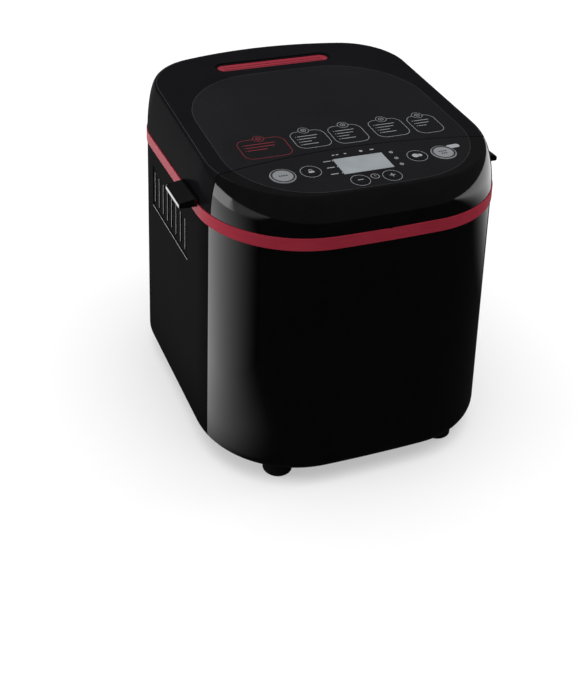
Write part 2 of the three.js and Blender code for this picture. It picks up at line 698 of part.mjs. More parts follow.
function hingeBracket() {
  const width = KNUCKLE_INNER_X + KNUCKLE_WIDTH;
  const top = BAND_TOP - GAP;
  const inner = -GAP;
  const rings = [[inner - BRACKET, -1], [inner - BRACKET, 0], [inner, 0], [inner, -1]];
  const sheet = skin(rings.map(([inset, level]) => casing(inset, top + level * BRACKET_DROP)), true);
  let made = sheet.intersect(box(-width, width, 0, FAR, 0, FAR));
  for (const hand of [-1, 1]) {
    const [x0, x1] = ordered(hand * KNUCKLE_INNER_X, hand * width);
    const webY = rearFaceY(KNUCKLE_INNER_X) + GAP;
    const web = box(x0, x1, webY, HINGE_Y + BRACKET, top - BRACKET_WEB, HINGE_Z);
    made = join(made, rodAlongX(x0, x1, HINGE_Y, HINGE_Z, KNUCKLE_RADIUS), web);
  }
  return cut(made, rodAlongX(-FAR, FAR, HINGE_Y, HINGE_Z, PIN_RADIUS + GAP, 16));
}

function hingePin() {
  const reach = KNUCKLE_INNER_X + KNUCKLE_WIDTH + 1;
  return rodAlongX(-reach, reach, HINGE_Y, HINGE_Z, PIN_RADIUS, 16);
}

// ---- Controls, in the top's own frame ----

function button(radius) {
  const bottom = BUTTON_PROUD - BUTTON_HEIGHT;
  return turned(0, 0, [
    [0, bottom - BUTTON_FOOT],
    [radius + BUTTON_FLANGE, bottom - BUTTON_FOOT],
    [radius + BUTTON_FLANGE, bottom],
    [radius, bottom],
    [radius, BUTTON_PROUD - BUTTON_CHAMFER],
    [radius - BUTTON_CHAMFER, BUTTON_PROUD],
    [0, BUTTON_PROUD],
  ], 24);
}

// A block centred on the LCD, with a border round it.
function lcdBlock(border, z0, z1) {
  const [x, y] = [LCD_WIDTH / 2 + border, LCD_DEPTH / 2 + border];
  return box(-x, x, LCD_Y - y, LCD_Y + y, z0, z1);
}

function lcdModule() {
  const glass = lcdBlock(0, -WALL - 1, -LENS - GAP);
  return join(lcdBlock(LCD_BORDER, -BOARD_DROP + GAP, -WALL - GAP), glass);
}

function controlBoard() {
  const [low, high] = [-BOARD_DROP - BOARD, -BOARD_DROP];
  const board = box(-BOARD_HALF_WIDTH, BOARD_HALF_WIDTH, BOARD_FRONT_Y, BOARD_REAR_Y, low, high);
  const switchTop = BUTTON_PROUD - BUTTON_HEIGHT - BUTTON_FOOT - BUTTON_TRAVEL - GAP;
  const switches = BUTTONS.map(([, x, y]) => rod(x, y, high - BOARD / 2, switchTop, SWITCH_RADIUS, 12));
  return join(board, ...switches);
}

// ---- Inside the casing ----

function innerDeck() {
  const edge = WALL + GAP;
  const plate = skin([casing(edge, DECK_TOP - DECK), casing(edge, DECK_TOP)]);
  const hole = skin([DECK_TOP - 2 * DECK, DECK_TOP + DECK].map((z) => ovenRing(GAP, z)));
  return cut(plate, hole);
}

function ovenChamber() {
  const made = skin([
    ovenRing(0, CHASSIS_TOP + GAP),
    ovenRing(0, FLANGE_TOP - SHEET),
    ovenRing(OVEN_FLANGE, FLANGE_TOP - SHEET),
    ovenRing(OVEN_FLANGE, FLANGE_TOP),
    ovenRing(-SHEET, FLANGE_TOP),
    ovenRing(-SHEET, OVEN_FLOOR),
  ]);
  const terminals = [-TERMINAL_X, TERMINAL_X].map((x) =>
    rodAlongY(x, -FAR, OVEN_Y, ELEMENT_Z, ELEMENT_RADIUS + GAP, 12),
  );
  const sensor = rodAlongY(SENSOR_X, OVEN_Y, FAR, SENSOR_Z, SENSOR_RADIUS + GAP, 12);
  return cut(made, rod(0, OVEN_Y, 0, OVEN_FLOOR + 1, BUSH_RADIUS + GAP), sensor, ...terminals);
}

// A path of straight runs joined by rounded corners. It takes one step along each run and a few
// round each corner, so its steps aren't of equal length.
class BentPath extends THREE.Curve {
  constructor(corners, radii, cornerSteps = 4) {
    super();
    const last = corners.length - 1;
    this.points = corners.flatMap((corner, k) => {
      if (k === 0 || k === last) return [corner];
      const before = corners[k - 1].clone().sub(corner).setLength(radii[k - 1]).add(corner);
      const after = corners[k + 1].clone().sub(corner).setLength(radii[k - 1]).add(corner);
      return new THREE.QuadraticBezierCurve3(before, corner, after).getPoints(cornerSteps);
    });
  }

  getPoint(t, target = new THREE.Vector3()) {
    const place = Math.min(Math.max(t, 0), 1) * (this.points.length - 1);
    const k = Math.min(Math.floor(place), this.points.length - 2);
    return target.lerpVectors(this.points[k], this.points[k + 1], place - k);
  }

  getPointAt(u, target) {
    return this.getPoint(u, target);
  }

  getTangentAt(u, target) {
    return this.getTangent(u, target);
  }
}

// A bar of round section, mirrored left to right: half of its corners are given, from its end on.
function bentBar(half, radii, radius, z) {
  const mirrored = half.map(([x, y]) => [-x, y]).reverse();
  const corners = [...half, ...mirrored].map(([x, y]) => new THREE.Vector3(x, y, z));
  const path = new BentPath(corners, [...radii, ...radii.slice().reverse()]);
  const section = new THREE.Shape().absarc(0, 0, radius, 0, 2 * Math.PI, false);
  const steps = path.points.length - 1;
  const settings = { steps, bevelEnabled: false, extrudePath: path, curveSegments: 5 };
  return solid(new THREE.ExtrudeGeometry(section, settings));
}

// The sheathed element: a loop round the oven's wall whose ends leave through the front wall.
function heatingElement() {
  const x = OVEN_HALF_WIDTH - SHEET - ELEMENT_SPACE;
  const reach = OVEN_HALF_DEPTH - SHEET - ELEMENT_SPACE;
  const out = OVEN_Y - OVEN_HALF_DEPTH - TERMINAL_REACH;
  const half = [
    [TERMINAL_X, out],
    [TERMINAL_X, OVEN_Y - reach],
    [x, OVEN_Y - reach],
    [x, OVEN_Y + reach],
  ];
  return bentBar(half, [TERMINAL_BEND, ELEMENT_BEND, ELEMENT_BEND], ELEMENT_RADIUS, ELEMENT_Z);
}

function elementBracket(hand) {
  const wall = OVEN_HALF_WIDTH - SHEET - GAP;
  const centre = OVEN_HALF_WIDTH - SHEET - ELEMENT_SPACE;
  const reach = centre - ELEMENT_RADIUS - 2;
  const [x0, x1] = hand > 0 ? [reach, wall] : [-wall, -reach];
  const y = OVEN_Y + ELEMENT_BRACKET_Y;
  const block = box(x0, x1, y - 5, y + 5, ELEMENT_Z - 2 * ELEMENT_RADIUS, ELEMENT_Z);
  return cut(block, rodAlongY(hand * centre, y - 10, y + 10, ELEMENT_Z, ELEMENT_RADIUS + GAP, 16));
}

function temperatureSensor() {
  const wall = OVEN_Y + OVEN_HALF_DEPTH;
  const back = wall + 2 * SENSOR_RADIUS;
  const tip = rodAlongY(SENSOR_X, back - SENSOR_LENGTH, back, SENSOR_Z, SENSOR_RADIUS, 12);
  return join(tip, rodAlongY(SENSOR_X, wall + GAP, wall + GAP + 2, SENSOR_Z, 2 * SENSOR_RADIUS, 12));
}

function baseTray() {
  const edge = BAND_PROUD + BOTTOM_EDGE + GAP;
  const top = FOOT_HEIGHT + TRAY;
  const plate = skin([casing(edge, FOOT_HEIGHT), casing(edge, top)]);
  const [low, high] = [top - 1, top + TRAY_RIM];
  const rim = [[edge, low], [edge, high], [edge + TRAY, high], [edge + TRAY, low]];
  const made = [plate, skin(rim.map(([inset, z]) => casing(inset, z)), true)];
  for (const x of [-POST_X, POST_X]) {
    for (const y of POST_Y) made.push(rod(x, y, top - 1, CHASSIS_HEIGHT - GAP, POST_RADIUS, 16));
  }
  const holes = [-POST_X, POST_X].map((x) =>
    rod(x, POST_Y[1], FOOT_HEIGHT - 1, CHASSIS_HEIGHT - WALL, SCREW_RADIUS + GAP, 12),
  );
  return cut(join(...made), ...holes);
}

function foot(x, y) {
  const top = FOOT_HEIGHT - GAP;
  const edge = FOOT_CHAMFER;
  const profile = [[0, 0], [FOOT_RADIUS - edge, 0], [FOOT_RADIUS, edge], [FOOT_RADIUS, top], [0, top]];
  return turned(x, y, profile, 24);
}

function chassisPlate() {
  const plate = skin([casing(CHASSIS_INSET, CHASSIS_HEIGHT), casing(CHASSIS_INSET, CHASSIS_TOP)]);
  return cut(
    plate,
    rod(0, OVEN_Y, 0, FAR, BUSH_RADIUS + GAP),
    rod(0, MOTOR_Y, 0, FAR, 3 * MOTOR_SHAFT_RADIUS),
  );
}

// A board on four legs, with a transformer and a relay standing on it.
function powerBoard() {
  const [x0, x1] = POWER_BOARD_X;
  const [y0, y1] = POWER_BOARD_Y;
  const base = CHASSIS_TOP + GAP;
  const low = base + POWER_BOARD_RISE;
  const on = low + BOARD / 2;
  const legX = [x0 + 5, x1 - 5];
  const legY = [y0 + 5, y1 - 5];
  const legs = legX.flatMap((x) => legY.map((y) => rod(x, y, base, on, SWITCH_RADIUS, 12)));
  const transformer = box(x0 + 6, x0 + 30, y0 + 10, y0 + 36, on, on + 23);
  const relay = box(x1 - 20, x1 - 6, y0 + 8, y0 + 30, on, on + 17);
  return join(box(x0, x1, y0, y1, low, low + BOARD), ...legs, transformer, relay);
}

function panSeat() {
  const inner = PAN_FOOT_RADIUS + PAN_FOOT_PLAY;
  const base = OVEN_FLOOR + GAP;
  const flange = PAN_SEAT_RADIUS + 2 * PAN_SEAT_STEP;
  return turned(0, OVEN_Y, [
    [inner, base],
    [flange, base],
    [flange, base + PAN_SEAT_STEP],
    [PAN_SEAT_RADIUS, base + PAN_SEAT_STEP],
    [PAN_SEAT_RADIUS - PAN_SEAT_STEP, SEAT_TOP],
    [inner, SEAT_TOP],
    [inner, base],
  ], 36);
}

// A leaf spring that stands on the oven's floor against the pan's side.
function panClip(hand) {
  const base = OVEN_FLOOR + GAP;
  const x = PAN_HALF_WIDTH - PAN_TAPER + 1;
  const top = PAN_BOTTOM + CLIP_RISE;
  const lean = PAN_TAPER * CLIP_LEAN;
  const shape = new THREE.Shape();
  shape.moveTo(x, base);
  shape.lineTo(x + CLIP_FOOT, base);
  shape.lineTo(x + CLIP_FOOT, base + SHEET);
  shape.lineTo(x + SHEET, base + SHEET);
  shape.lineTo(x + SHEET + lean, top);
  shape.lineTo(x + lean, top);
  return sideProfile(shape, OVEN_Y - CLIP_WIDTH / 2, OVEN_Y + CLIP_WIDTH / 2, hand);
}

// ---- Drive ----

function bearingHousing() {
  const top = CHASSIS_HEIGHT - GAP;
  const bore = BUSH_RADIUS + GAP;
  const low = BUSH_BOTTOM;
  return turned(0, OVEN_Y, [
    [bore, low],
    [bore + HOUSING_WALL, low],
    [bore + HOUSING_WALL, top - 3],
    [bore + 3 * HOUSING_WALL, top - 3],
    [bore + 3 * HOUSING_WALL, top],
    [bore, top],
    [bore, low],
  ]);
}

function bearingBush() {
  return sleeve(0, OVEN_Y, SHAFT_RADIUS + RUNNING, BUSH_RADIUS, BUSH_BOTTOM, OVEN_FLOOR + 1, 24);
}

function driveShaft() {
  return rod(0, OVEN_Y, PULLEY_Z - 3, DRIVE_DOG_Z + DOG_PLATE - DOG_SINK, SHAFT_RADIUS);
}

// A round plate with two lugs that face the other half of the coupling.
function dog(low, lugLow, lugHigh, turnAngle) {
  const plate = sleeve(0, OVEN_Y, SHAFT_RADIUS + GAP, DOG_RADIUS, low, low + DOG_PLATE, 24);
  const lugs = [-1, 1].map((hand) => {
    const lug = new THREE.BoxGeometry(DOG_LUG, DOG_LUG, lugHigh - lugLow);
    const reach = DOG_RADIUS - DOG_LUG;
    lug.translate(hand * reach, 0, (lugLow + lugHigh) / 2).rotateZ(turnAngle);
    return solid(lug.translate(0, OVEN_Y, 0));
  });
  return join(plate, ...lugs);
}

const driveDog = () =>
  dog(DRIVE_DOG_Z, DRIVE_DOG_Z + DOG_PLATE - DOG_SINK, PAN_DOG_Z - DOG_PLAY, 0);
const panDog = () =>
  dog(PAN_DOG_Z, DRIVE_DOG_Z + DOG_PLATE + DOG_PLAY, PAN_DOG_Z + DOG_SINK, Math.PI / 2);

function pulley(y, radius, bore, hub, sides) {
  const base = PULLEY_Z;
  const top = base + PULLEY_HEIGHT;
  const rim = radius + PULLEY_FLANGE_REACH;
  return turned(0, y, [
    [bore, base],
    [rim, base],
    [rim, base + PULLEY_FLANGE],
    [radius, base + PULLEY_FLANGE],
    [radius, top - PULLEY_FLANGE],
    [rim, top - PULLEY_FLANGE],
    [rim, top],
    [hub, top],
    [hub, top + 2],
    [bore, top + 2],
    [bore, base],
  ], sides);
}

const drivePulley = () => pulley(OVEN_Y, PULLEY_RADIUS, SHAFT_RADIUS + GAP, 10, 40);
const motorPulley = () => pulley(MOTOR_Y, MOTOR_PULLEY_RADIUS, MOTOR_SHAFT_RADIUS + GAP, 6, 24);

// The outline of the belt at a distance from both pulleys, along their outer tangents.
function beltOutline(offset) {
  const large = PULLEY_RADIUS + offset;
  const small = MOTOR_PULLEY_RADIUS + offset;
  const lean = Math.asin((large - small) / (OVEN_Y - MOTOR_Y));
  const shape = new THREE.Shape();
  shape.absarc(0, OVEN_Y, large, -lean, Math.PI + lean, false);
  shape.absarc(0, MOTOR_Y, small, Math.PI + lean, 2 * Math.PI - lean, false);
  return shape;
}

function driveBelt() {
  const margin = PULLEY_FLANGE + GAP;
  const [low, high] = [PULLEY_Z + margin, PULLEY_Z + PULLEY_HEIGHT - margin];
  const outer = solid(prism(beltOutline(GAP + BELT), low, high, 18));
  return cut(outer, solid(prism(beltOutline(GAP), low - 1, high + 1, 18)));
}

function motor() {
  const base = CHASSIS_TOP + GAP;
  const bore = MOTOR_SHAFT_RADIUS + RUNNING;
  const top = base + MOTOR_HEIGHT;
  return turned(0, MOTOR_Y, [
    [bore, base],
    [MOTOR_RADIUS, base],
    [MOTOR_RADIUS, top - 10],
    [MOTOR_RADIUS - 4, top - 6],
    [10, top - 6],
    [10, top],
    [bore, top],
    [bore, base],
  ]);
}

const motorShaft = () =>
  rod(0, MOTOR_Y, PULLEY_Z - 2, CHASSIS_TOP + MOTOR_HEIGHT + 5, MOTOR_SHAFT_RADIUS, 16);

// ---- Bread pan ----

function breadPan() {
  const ring = (grow, z) => {
    const corner = PAN_CORNER + Math.min(grow, 0);
    return roundedBox(PAN_HALF_WIDTH + grow, PAN_HALF_DEPTH + grow, corner, z);
  };
  const foot = PAN_TAPER + PAN_EDGE;
  const cup = skin([
    ring(-foot, PAN_BOTTOM),
    ring(-PAN_TAPER, PAN_BOTTOM + PAN_EDGE),
    ring(0, PAN_TOP - PAN_WALL),
    ring(PAN_RIM, PAN_TOP - PAN_WALL),
    ring(PAN_RIM, PAN_TOP),
    ring(-PAN_WALL, PAN_TOP),
    ring(-PAN_TAPER - PAN_WALL, PAN_BOTTOM + PAN_WALL + PAN_EDGE),
    ring(-foot - PAN_WALL, PAN_BOTTOM + PAN_WALL),
  ]);
  const ears = [-1, 1].map((hand) => {
    const inner = hand * (PAN_HALF_WIDTH - PAN_WALL);
    const [x0, x1] = ordered(inner, hand * (PAN_HALF_WIDTH + PAN_RIM));
    const [y0, y1] = [OVEN_Y - EAR_HALF_WIDTH, OVEN_Y + EAR_HALF_WIDTH];
    return box(x0, x1, y0, y1, PAN_TOP - 2 * EAR_DROP, PAN_TOP - PAN_WALL / 2);
  });
  const pivot = rodAlongX(-FAR, FAR, OVEN_Y, PAN_TOP - EAR_DROP, HANDLE_RADIUS + RUNNING, 12);
  const inside = box(-PAN_HALF_WIDTH + PAN_WALL, PAN_HALF_WIDTH - PAN_WALL, -FAR, FAR, 0, FAR);
  const bore = rod(0, OVEN_Y, 0, PAN_BOTTOM + 2 * PAN_WALL, SEAL_RADIUS + GAP);
  return cut(join(cup, ...ears), pivot.subtract(inside), bore);
}

function panFootRing() {
  const top = PAN_BOTTOM - GAP;
  const inner = PAN_FOOT_RADIUS - PAN_FOOT_WALL;
  return sleeve(0, OVEN_Y, inner, PAN_FOOT_RADIUS, top - PAN_FOOT_HEIGHT, top, 36);
}

function shaftSeal() {
  const bore = SHAFT_RADIUS + RUNNING;
  const floor = PAN_BOTTOM + PAN_WALL;
  return turned(0, OVEN_Y, [
    [bore, PAN_BOTTOM - 0.5],
    [SEAL_RADIUS, PAN_BOTTOM - 0.5],
    [SEAL_RADIUS, floor + GAP],
    [SEAL_RADIUS + 3, floor + GAP],
    [SEAL_RADIUS + 3, floor + 2],
    [SEAL_RADIUS, floor + SHAFT_SEAL_RISE],
    [bore, floor + SHAFT_SEAL_RISE],
    [bore, PAN_BOTTOM - 0.5],
  ], 24);
}

const paddleShaft = () =>
  rod(0, OVEN_Y, PAN_DOG_Z - 3, PAN_BOTTOM + PAN_WALL + 22, SHAFT_RADIUS);

// The paddle: a hub on the shaft and one blade that leans back.
function kneadingPaddle() {
  const base = PAN_BOTTOM + PAN_WALL + SHAFT_SEAL_RISE + GAP;
  const bore = SHAFT_RADIUS + GAP;
  const hub = sleeve(0, OVEN_Y, bore, PADDLE_HUB_RADIUS, base, base + PADDLE_HUB_HEIGHT, 24);
  const root = PADDLE_HUB_RADIUS - 3;
  const shape = new THREE.Shape();
  shape.moveTo(root, 0);
  shape.lineTo(PADDLE_REACH, 0);
  shape.quadraticCurveTo(PADDLE_REACH + 2, PADDLE_RISE / 2, PADDLE_REACH - 8, PADDLE_RISE - 6);
  shape.quadraticCurveTo(PADDLE_REACH / 2, PADDLE_RISE + 4, root, PADDLE_RISE);
  const settings = { depth: PADDLE_BLADE, bevelEnabled: false, curveSegments: 6 };
  const blade = new THREE.ExtrudeGeometry(shape, settings).translate(0, 0, -PADDLE_BLADE / 2);
  blade.rotateX(THREE.MathUtils.degToRad(PADDLE_LEAN)).translate(0, OVEN_Y, base + 1);
  const tail = box(-14, -root, OVEN_Y - 3, OVEN_Y + 3, base, base + 10);
  return cut(join(hub, solid(blade), tail), rod(0, OVEN_Y, 0, FAR, bore));
}

// The bail handle, folded down to the front round the pan's rim.
function panHandle() {
  const x = PAN_HALF_WIDTH + PAN_RIM + HANDLE_RADIUS + 1;
  const front = OVEN_Y - HANDLE_REACH;
  const half = [[PAN_HALF_WIDTH + 0.5, OVEN_Y], [x, OVEN_Y], [x, front]];
  return bentBar(half, [HANDLE_RADIUS, HANDLE_BEND], HANDLE_RADIUS, PAN_TOP - EAR_DROP);
}

// ---- Assembly ----

const machine = new THREE.Group();
const topGroup = new THREE.Group();
topFrame.decompose(topGroup.position, topGroup.quaternion, topGroup.scale);
machine.add(topGroup);

function place(name, made, material, parent = machine) {
  const mesh = new THREE.Mesh(geometryOf(made), material);
  mesh.name = name;
  parent.add(mesh);
  return mesh;
}

place("base_tray", baseTray(), INNER_PLASTIC);
[["front", 0], ["rear", 1]].forEach(([end, k]) => {
  place(`foot_${end}_left`, foot(-FOOT_X[k], FOOT_Y[k]), RUBBER);
  place(`foot_${end}_right`, foot(FOOT_X[k], FOOT_Y[k]), RUBBER);
});
place("base_screw_left", screw(-POST_X, POST_Y[1], FOOT_HEIGHT - GAP, 30), STEEL);
place("base_screw_right", screw(POST_X, POST_Y[1], FOOT_HEIGHT - GAP, 30), STEEL);
place("front_wrap", frontWrap(), GLOSSY_BLACK);
place("rear_casing", rearCasing(), SATIN_BLACK);
place("cord_gland", cordGland(), RUBBER);
place("trim_band", trimBand(), RED_METAL);
place("front_fascia", frontFascia(), GLOSSY_BLACK);
place("control_panel", controlPanel(), PLATE_BLACK);
place("inner_deck", innerDeck(), INNER_PLASTIC);
place("hinge_bracket", hingeBracket(), SATIN_BLACK);
place("hinge_pin", hingePin(), STEEL);

place("lid_shell", lidShell(), SATIN_BLACK);
place("program_plate", programPlate(), PLATE_BLACK);
place("vent_insert", ventInsert(), RED_PLASTIC);
place("lid_liner", lidLiner(), ALUMINIUM);
place("lid_seal", lidSeal(), SILICONE);
place("grip_left", grip(-1), GLOSSY_BLACK);
place("grip_right", grip(1), GLOSSY_BLACK);
place("lid_screw_left", screw(-LINER_SCREW_X, OVEN_Y, LINER_RIM_Z - GAP, 6), STEEL);
place("lid_screw_right", screw(LINER_SCREW_X, OVEN_Y, LINER_RIM_Z - GAP, 6), STEEL);

BUTTONS.forEach(([name, x, y, radius]) => {
  const material = radius === BIG_BUTTON_RADIUS ? SILVER : PLATE_BLACK;
  place(name, button(radius), material, topGroup).position.set(x, y, 0);
});
place("lcd_window", lcdBlock(0, -LENS, 0), LCD_GREY, topGroup);
place("lcd_module", lcdModule(), INNER_PLASTIC, topGroup);
place("control_board", controlBoard(), BOARD_GREEN, topGroup);

place("oven_chamber", ovenChamber(), STEEL);
place("heating_element", heatingElement(), STEEL);
place("element_bracket_left", elementBracket(-1), STEEL);
place("element_bracket_right", elementBracket(1), STEEL);
place("temperature_sensor", temperatureSensor(), STEEL);
place("pan_seat", panSeat(), ALUMINIUM);
place("pan_clip_left", panClip(-1), STEEL);
place("pan_clip_right", panClip(1), STEEL);
place("chassis_plate", chassisPlate(), STEEL);
place("power_board", powerBoard(), BOARD_GREEN);

place("motor", motor(), STEEL);
place("motor_shaft", motorShaft(), STEEL);
place("motor_pulley", motorPulley(), INNER_PLASTIC);
place("drive_belt", driveBelt(), RUBBER);
place("drive_pulley", drivePulley(), INNER_PLASTIC);
place("drive_shaft", driveShaft(), STEEL);
place("drive_dog", driveDog(), ALUMINIUM);
place("bearing_housing", bearingHousing(), ALUMINIUM);
place("bearing_bush", bearingBush(), BRONZE);

place("bread_pan", breadPan(), NON_STICK);
place("pan_foot_ring", panFootRing(), ALUMINIUM);
place("shaft_seal", shaftSeal(), SILICONE);
place("pan_handle", panHandle(), STEEL);
place("pan_dog", panDog(), ALUMINIUM);
place("paddle_shaft", paddleShaft(), STEEL);
place("kneading_paddle", kneadingPaddle(), NON_STICK);

machine.position.y = -(HINGE_STANDOUT + KNUCKLE_RADIUS) / 2;

export default machine;
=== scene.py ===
import json
import math

import bmesh
import bpy
from mathutils import Matrix, Vector


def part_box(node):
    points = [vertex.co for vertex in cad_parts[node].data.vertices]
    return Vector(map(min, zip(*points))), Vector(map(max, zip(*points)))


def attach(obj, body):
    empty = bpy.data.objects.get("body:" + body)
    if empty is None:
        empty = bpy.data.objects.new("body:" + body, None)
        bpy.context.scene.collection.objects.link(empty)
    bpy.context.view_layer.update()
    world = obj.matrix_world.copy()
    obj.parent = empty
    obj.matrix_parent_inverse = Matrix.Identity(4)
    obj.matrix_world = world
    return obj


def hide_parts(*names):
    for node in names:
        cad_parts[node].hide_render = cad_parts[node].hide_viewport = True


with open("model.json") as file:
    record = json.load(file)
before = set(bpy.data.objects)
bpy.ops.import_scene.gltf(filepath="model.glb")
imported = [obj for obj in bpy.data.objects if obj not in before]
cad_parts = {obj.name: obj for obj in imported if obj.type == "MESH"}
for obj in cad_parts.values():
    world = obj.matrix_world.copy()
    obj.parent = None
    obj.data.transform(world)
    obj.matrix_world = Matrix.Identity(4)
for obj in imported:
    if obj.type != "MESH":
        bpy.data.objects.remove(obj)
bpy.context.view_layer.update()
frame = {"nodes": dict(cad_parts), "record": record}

MM = 0.001

# ---- Sizes, in metres ----
BAND_LOW, BAND_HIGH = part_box("trim_band")
HALF_WIDTH = BAND_HIGH.x
HALF_DEPTH = (BAND_HIGH.y - BAND_LOW.y) / 2
CENTRE_Y = (BAND_HIGH.y + BAND_LOW.y) / 2
BAND_TOP = BAND_HIGH.z
FOOT_HEIGHT = 15 * MM
GAP = 0.3 * MM
WALL = 3 * MM
BAND_PROUD = 0.8 * MM
FRONT_BULGE = 6 * MM
FRONT_CORNER = 98 * MM
REAR_BULGE = 25 * MM
REAR_CORNER = 75 * MM
WRAP_SEAM_Y = -93 * MM
TOP_RISE = 45 * MM
TOP_SLOPE = 0.08
TOP_INSET = (8 * MM, 16 * MM, 17.5 * MM)  # side, front, rear
TOP_CURVE = 1.75  # fullness of the rounded edge of the top
LID_SEAM_Y = -79.3 * MM
LID_SEAM_RADIUS = 600 * MM
SEAM = 1 * MM
PLATE = dict(side=121.5, front=-149, rear=90, front_bulge=8, front_corner=80, rear_bulge=8, rear_corner=85)
TOP_MID = BAND_TOP + TOP_RISE
TOP_FRAME = Matrix.Translation((0, CENTRE_Y, TOP_MID)) @ Matrix.Rotation(math.atan(TOP_SLOPE), 4, "X")


# ---- Materials ----
def srgb(code):
    """A hex colour as linear RGBA."""
    parts = [int(code[k:k + 2], 16) / 255 for k in (1, 3, 5)]
    return [c / 12.92 if c <= 0.04045 else ((c + 0.055) / 1.055) ** 2.4 for c in parts] + [1]


def add_node(tree, kind, settings=None, **inputs):
    """A node with its settings, and its inputs as values or as links from other nodes' sockets."""
    made = tree.nodes.new(kind)
    for name, value in (settings or {}).items():
        setattr(made, name, value)
    for name, value in inputs.items():
        socket = made.inputs[int(name[1:])] if name[1:].isdigit() else made.inputs[name.replace("_", " ")]
        if isinstance(value, bpy.types.NodeSocket):
            tree.links.new(value, socket)
        else:
            socket.default_value = value
    return made


def start_material(name):
    material = bpy.data.materials.new(name)
    material.use_nodes = True
    tree = material.node_tree
    tree.nodes.clear()
    place = add_node(tree, "ShaderNodeTexCoord").outputs["Object"]
    return material, tree, place


def end_material(tree, shader):
    add_node(tree, "ShaderNodeOutputMaterial", Surface=shader.outputs[0])


def grained(name, dark, light, low, high, scale, bump, depth=0.00002, stretch=(1, 1, 1), detail=3, **shader):
    """Colour, roughness and relief that all follow one noise: a surface with a grain of a real size.
    scale is in grains per metre."""
    material, tree, place = start_material(name)
    spread = add_node(tree, "ShaderNodeMapping", {"vector_type": "POINT"}, Vector=place, Scale=stretch)
    grain = add_node(tree, "ShaderNodeTexNoise", Vector=spread.outputs[0], Scale=scale, Detail=detail)
    broad = add_node(tree, "ShaderNodeTexNoise", Vector=place, Scale=22, Detail=2)
    mixed = add_node(tree, "ShaderNodeMath", {"operation": "MULTIPLY_ADD"},
                     _0=grain.outputs[0], _1=0.65, _2=0)
    both = add_node(tree, "ShaderNodeMath", {"operation": "MULTIPLY_ADD"},
                    _0=broad.outputs[0], _1=0.35, _2=mixed.outputs[0])
    colour = add_node(tree, "ShaderNodeValToRGB", Fac=both.outputs[0])
    colour.color_ramp.elements[0].position, colour.color_ramp.elements[1].position = 0.35, 0.65
    colour.color_ramp.elements[0].color, colour.color_ramp.elements[1].color = srgb(dark), srgb(light)
    rough = add_node(tree, "ShaderNodeMapRange", Value=both.outputs[0])
    for socket, value in (("From Min", 0.3), ("From Max", 0.7), ("To Min", low), ("To Max", high)):
        rough.inputs[socket].default_value = value
    relief = add_node(tree, "ShaderNodeBump", Strength=bump, Distance=depth, Height=grain.outputs[0])
    surface = add_node(tree, "ShaderNodeBsdfPrincipled", Base_Color=colour.outputs[0],
                       Roughness=rough.outputs[0], Normal=relief.outputs[0], **shader)
    end_material(tree, surface)
    return material


# Injection-moulded ABS from a polished mould: piano black, a faint ripple of its flow in the gloss.
PIANO_BLACK = grained("piano_black_abs", "#050506", "#080809", 0.05, 0.09, 90, 0.05, 0.0001, IOR=1.53)
# Moulded ABS with a spark-eroded grain of 0.4 mm, drawn at 0.8 mm so that it shows: a soft satin.
SATIN_BLACK = grained("spark_grained_abs", "#09090a", "#0f0f10", 0.34, 0.46, 1250, 0.16,
                     IOR=1.53, Specular_IOR_Level=0.0, Coat_Weight=0.02, Coat_Roughness=0.35)
# The lid's ABS is finer, and its colour is painted a little paler than the casing's: painted light, for the
# light that lies on the lid's top.
LID_BLACK = grained("fine_satin_abs", "#131315", "#18181a", 0.26, 0.36, 1500, 0.1,
                   IOR=1.53, Specular_IOR_Level=0.0, Coat_Weight=0.02, Coat_Roughness=0.25)
# Polycarbonate sheet, screen-printed black from behind: smooth, with a grain too fine to catch light.
PRINTED_SHEET = grained("printed_polycarbonate_sheet", "#161618", "#1c1c1e", 0.2, 0.28, 1600, 0.05,
                       IOR=1.58, Specular_IOR_Level=0.12)
# Aluminium strip, brushed along its length, anodised red and lacquered.
RED_BAND = grained("brushed_anodised_aluminium", "#9c2d3c", "#b4384a", 0.28, 0.42, 60, 0.2, 0.00004,
                   stretch=(1, 1, 60), Metallic=0.12, Specular_IOR_Level=0.0, Coat_Weight=0.08,
                   Coat_Roughness=0.2)
# Red polypropylene insert from a satin mould.
RED_PLASTIC = grained("satin_red_polypropylene", "#8c2433", "#9d2f40", 0.32, 0.42, 1100, 0.1, IOR=1.49)
# ABS keys with a silver lacquer: fine flakes of 0.3 mm, drawn at 0.6 mm.
SILVER_LACQUER = grained("silver_lacquered_abs", "#a3a6aa", "#b9bcc0", 0.28, 0.4, 1700, 0.1, Metallic=0.5)
# Pale grey printing ink on the sheet: dull, a little broken at its edges.
GREY_INK = grained("grey_screen_ink", "#8b8d90", "#a4a6a9", 0.5, 0.65, 2400, 0.12, IOR=1.5)
RED_INK = grained("red_screen_ink", "#8a2433", "#9c2f3e", 0.5, 0.65, 2400, 0.12, IOR=1.5)
# Reflective liquid-crystal cell behind clear acrylic: pale grey-green, with a polished face.
LCD_CELL = grained("liquid_crystal_cell", "#8d9295", "#999ea2", 0.08, 0.14, 60, 0.02, IOR=1.49)
# Black for painted shade: a ring in the dark gap round the vent insert, where no light returns.
VENT_PAINTED_SHADE = grained("painted_shade_black", "#050505", "#090909", 0.6, 0.75, 900, 0.2, IOR=1.53)
# Galvanised and drawn steel sheet: a soft grey, drawn lines along its length.
DRAWN_STEEL = grained("drawn_stainless_steel", "#a9acb0", "#bfc2c5", 0.26, 0.42, 70, 0.2, 0.00004,
                      stretch=(1, 1, 26), Metallic=1)
BRIGHT_STEEL = grained("turned_steel", "#b4b6b9", "#c8cacc", 0.2, 0.32, 900, 0.08, Metallic=1)
ALUMINIUM = grained("pressed_aluminium", "#9fa2a5", "#b4b6b8", 0.36, 0.5, 420, 0.14, Metallic=1)
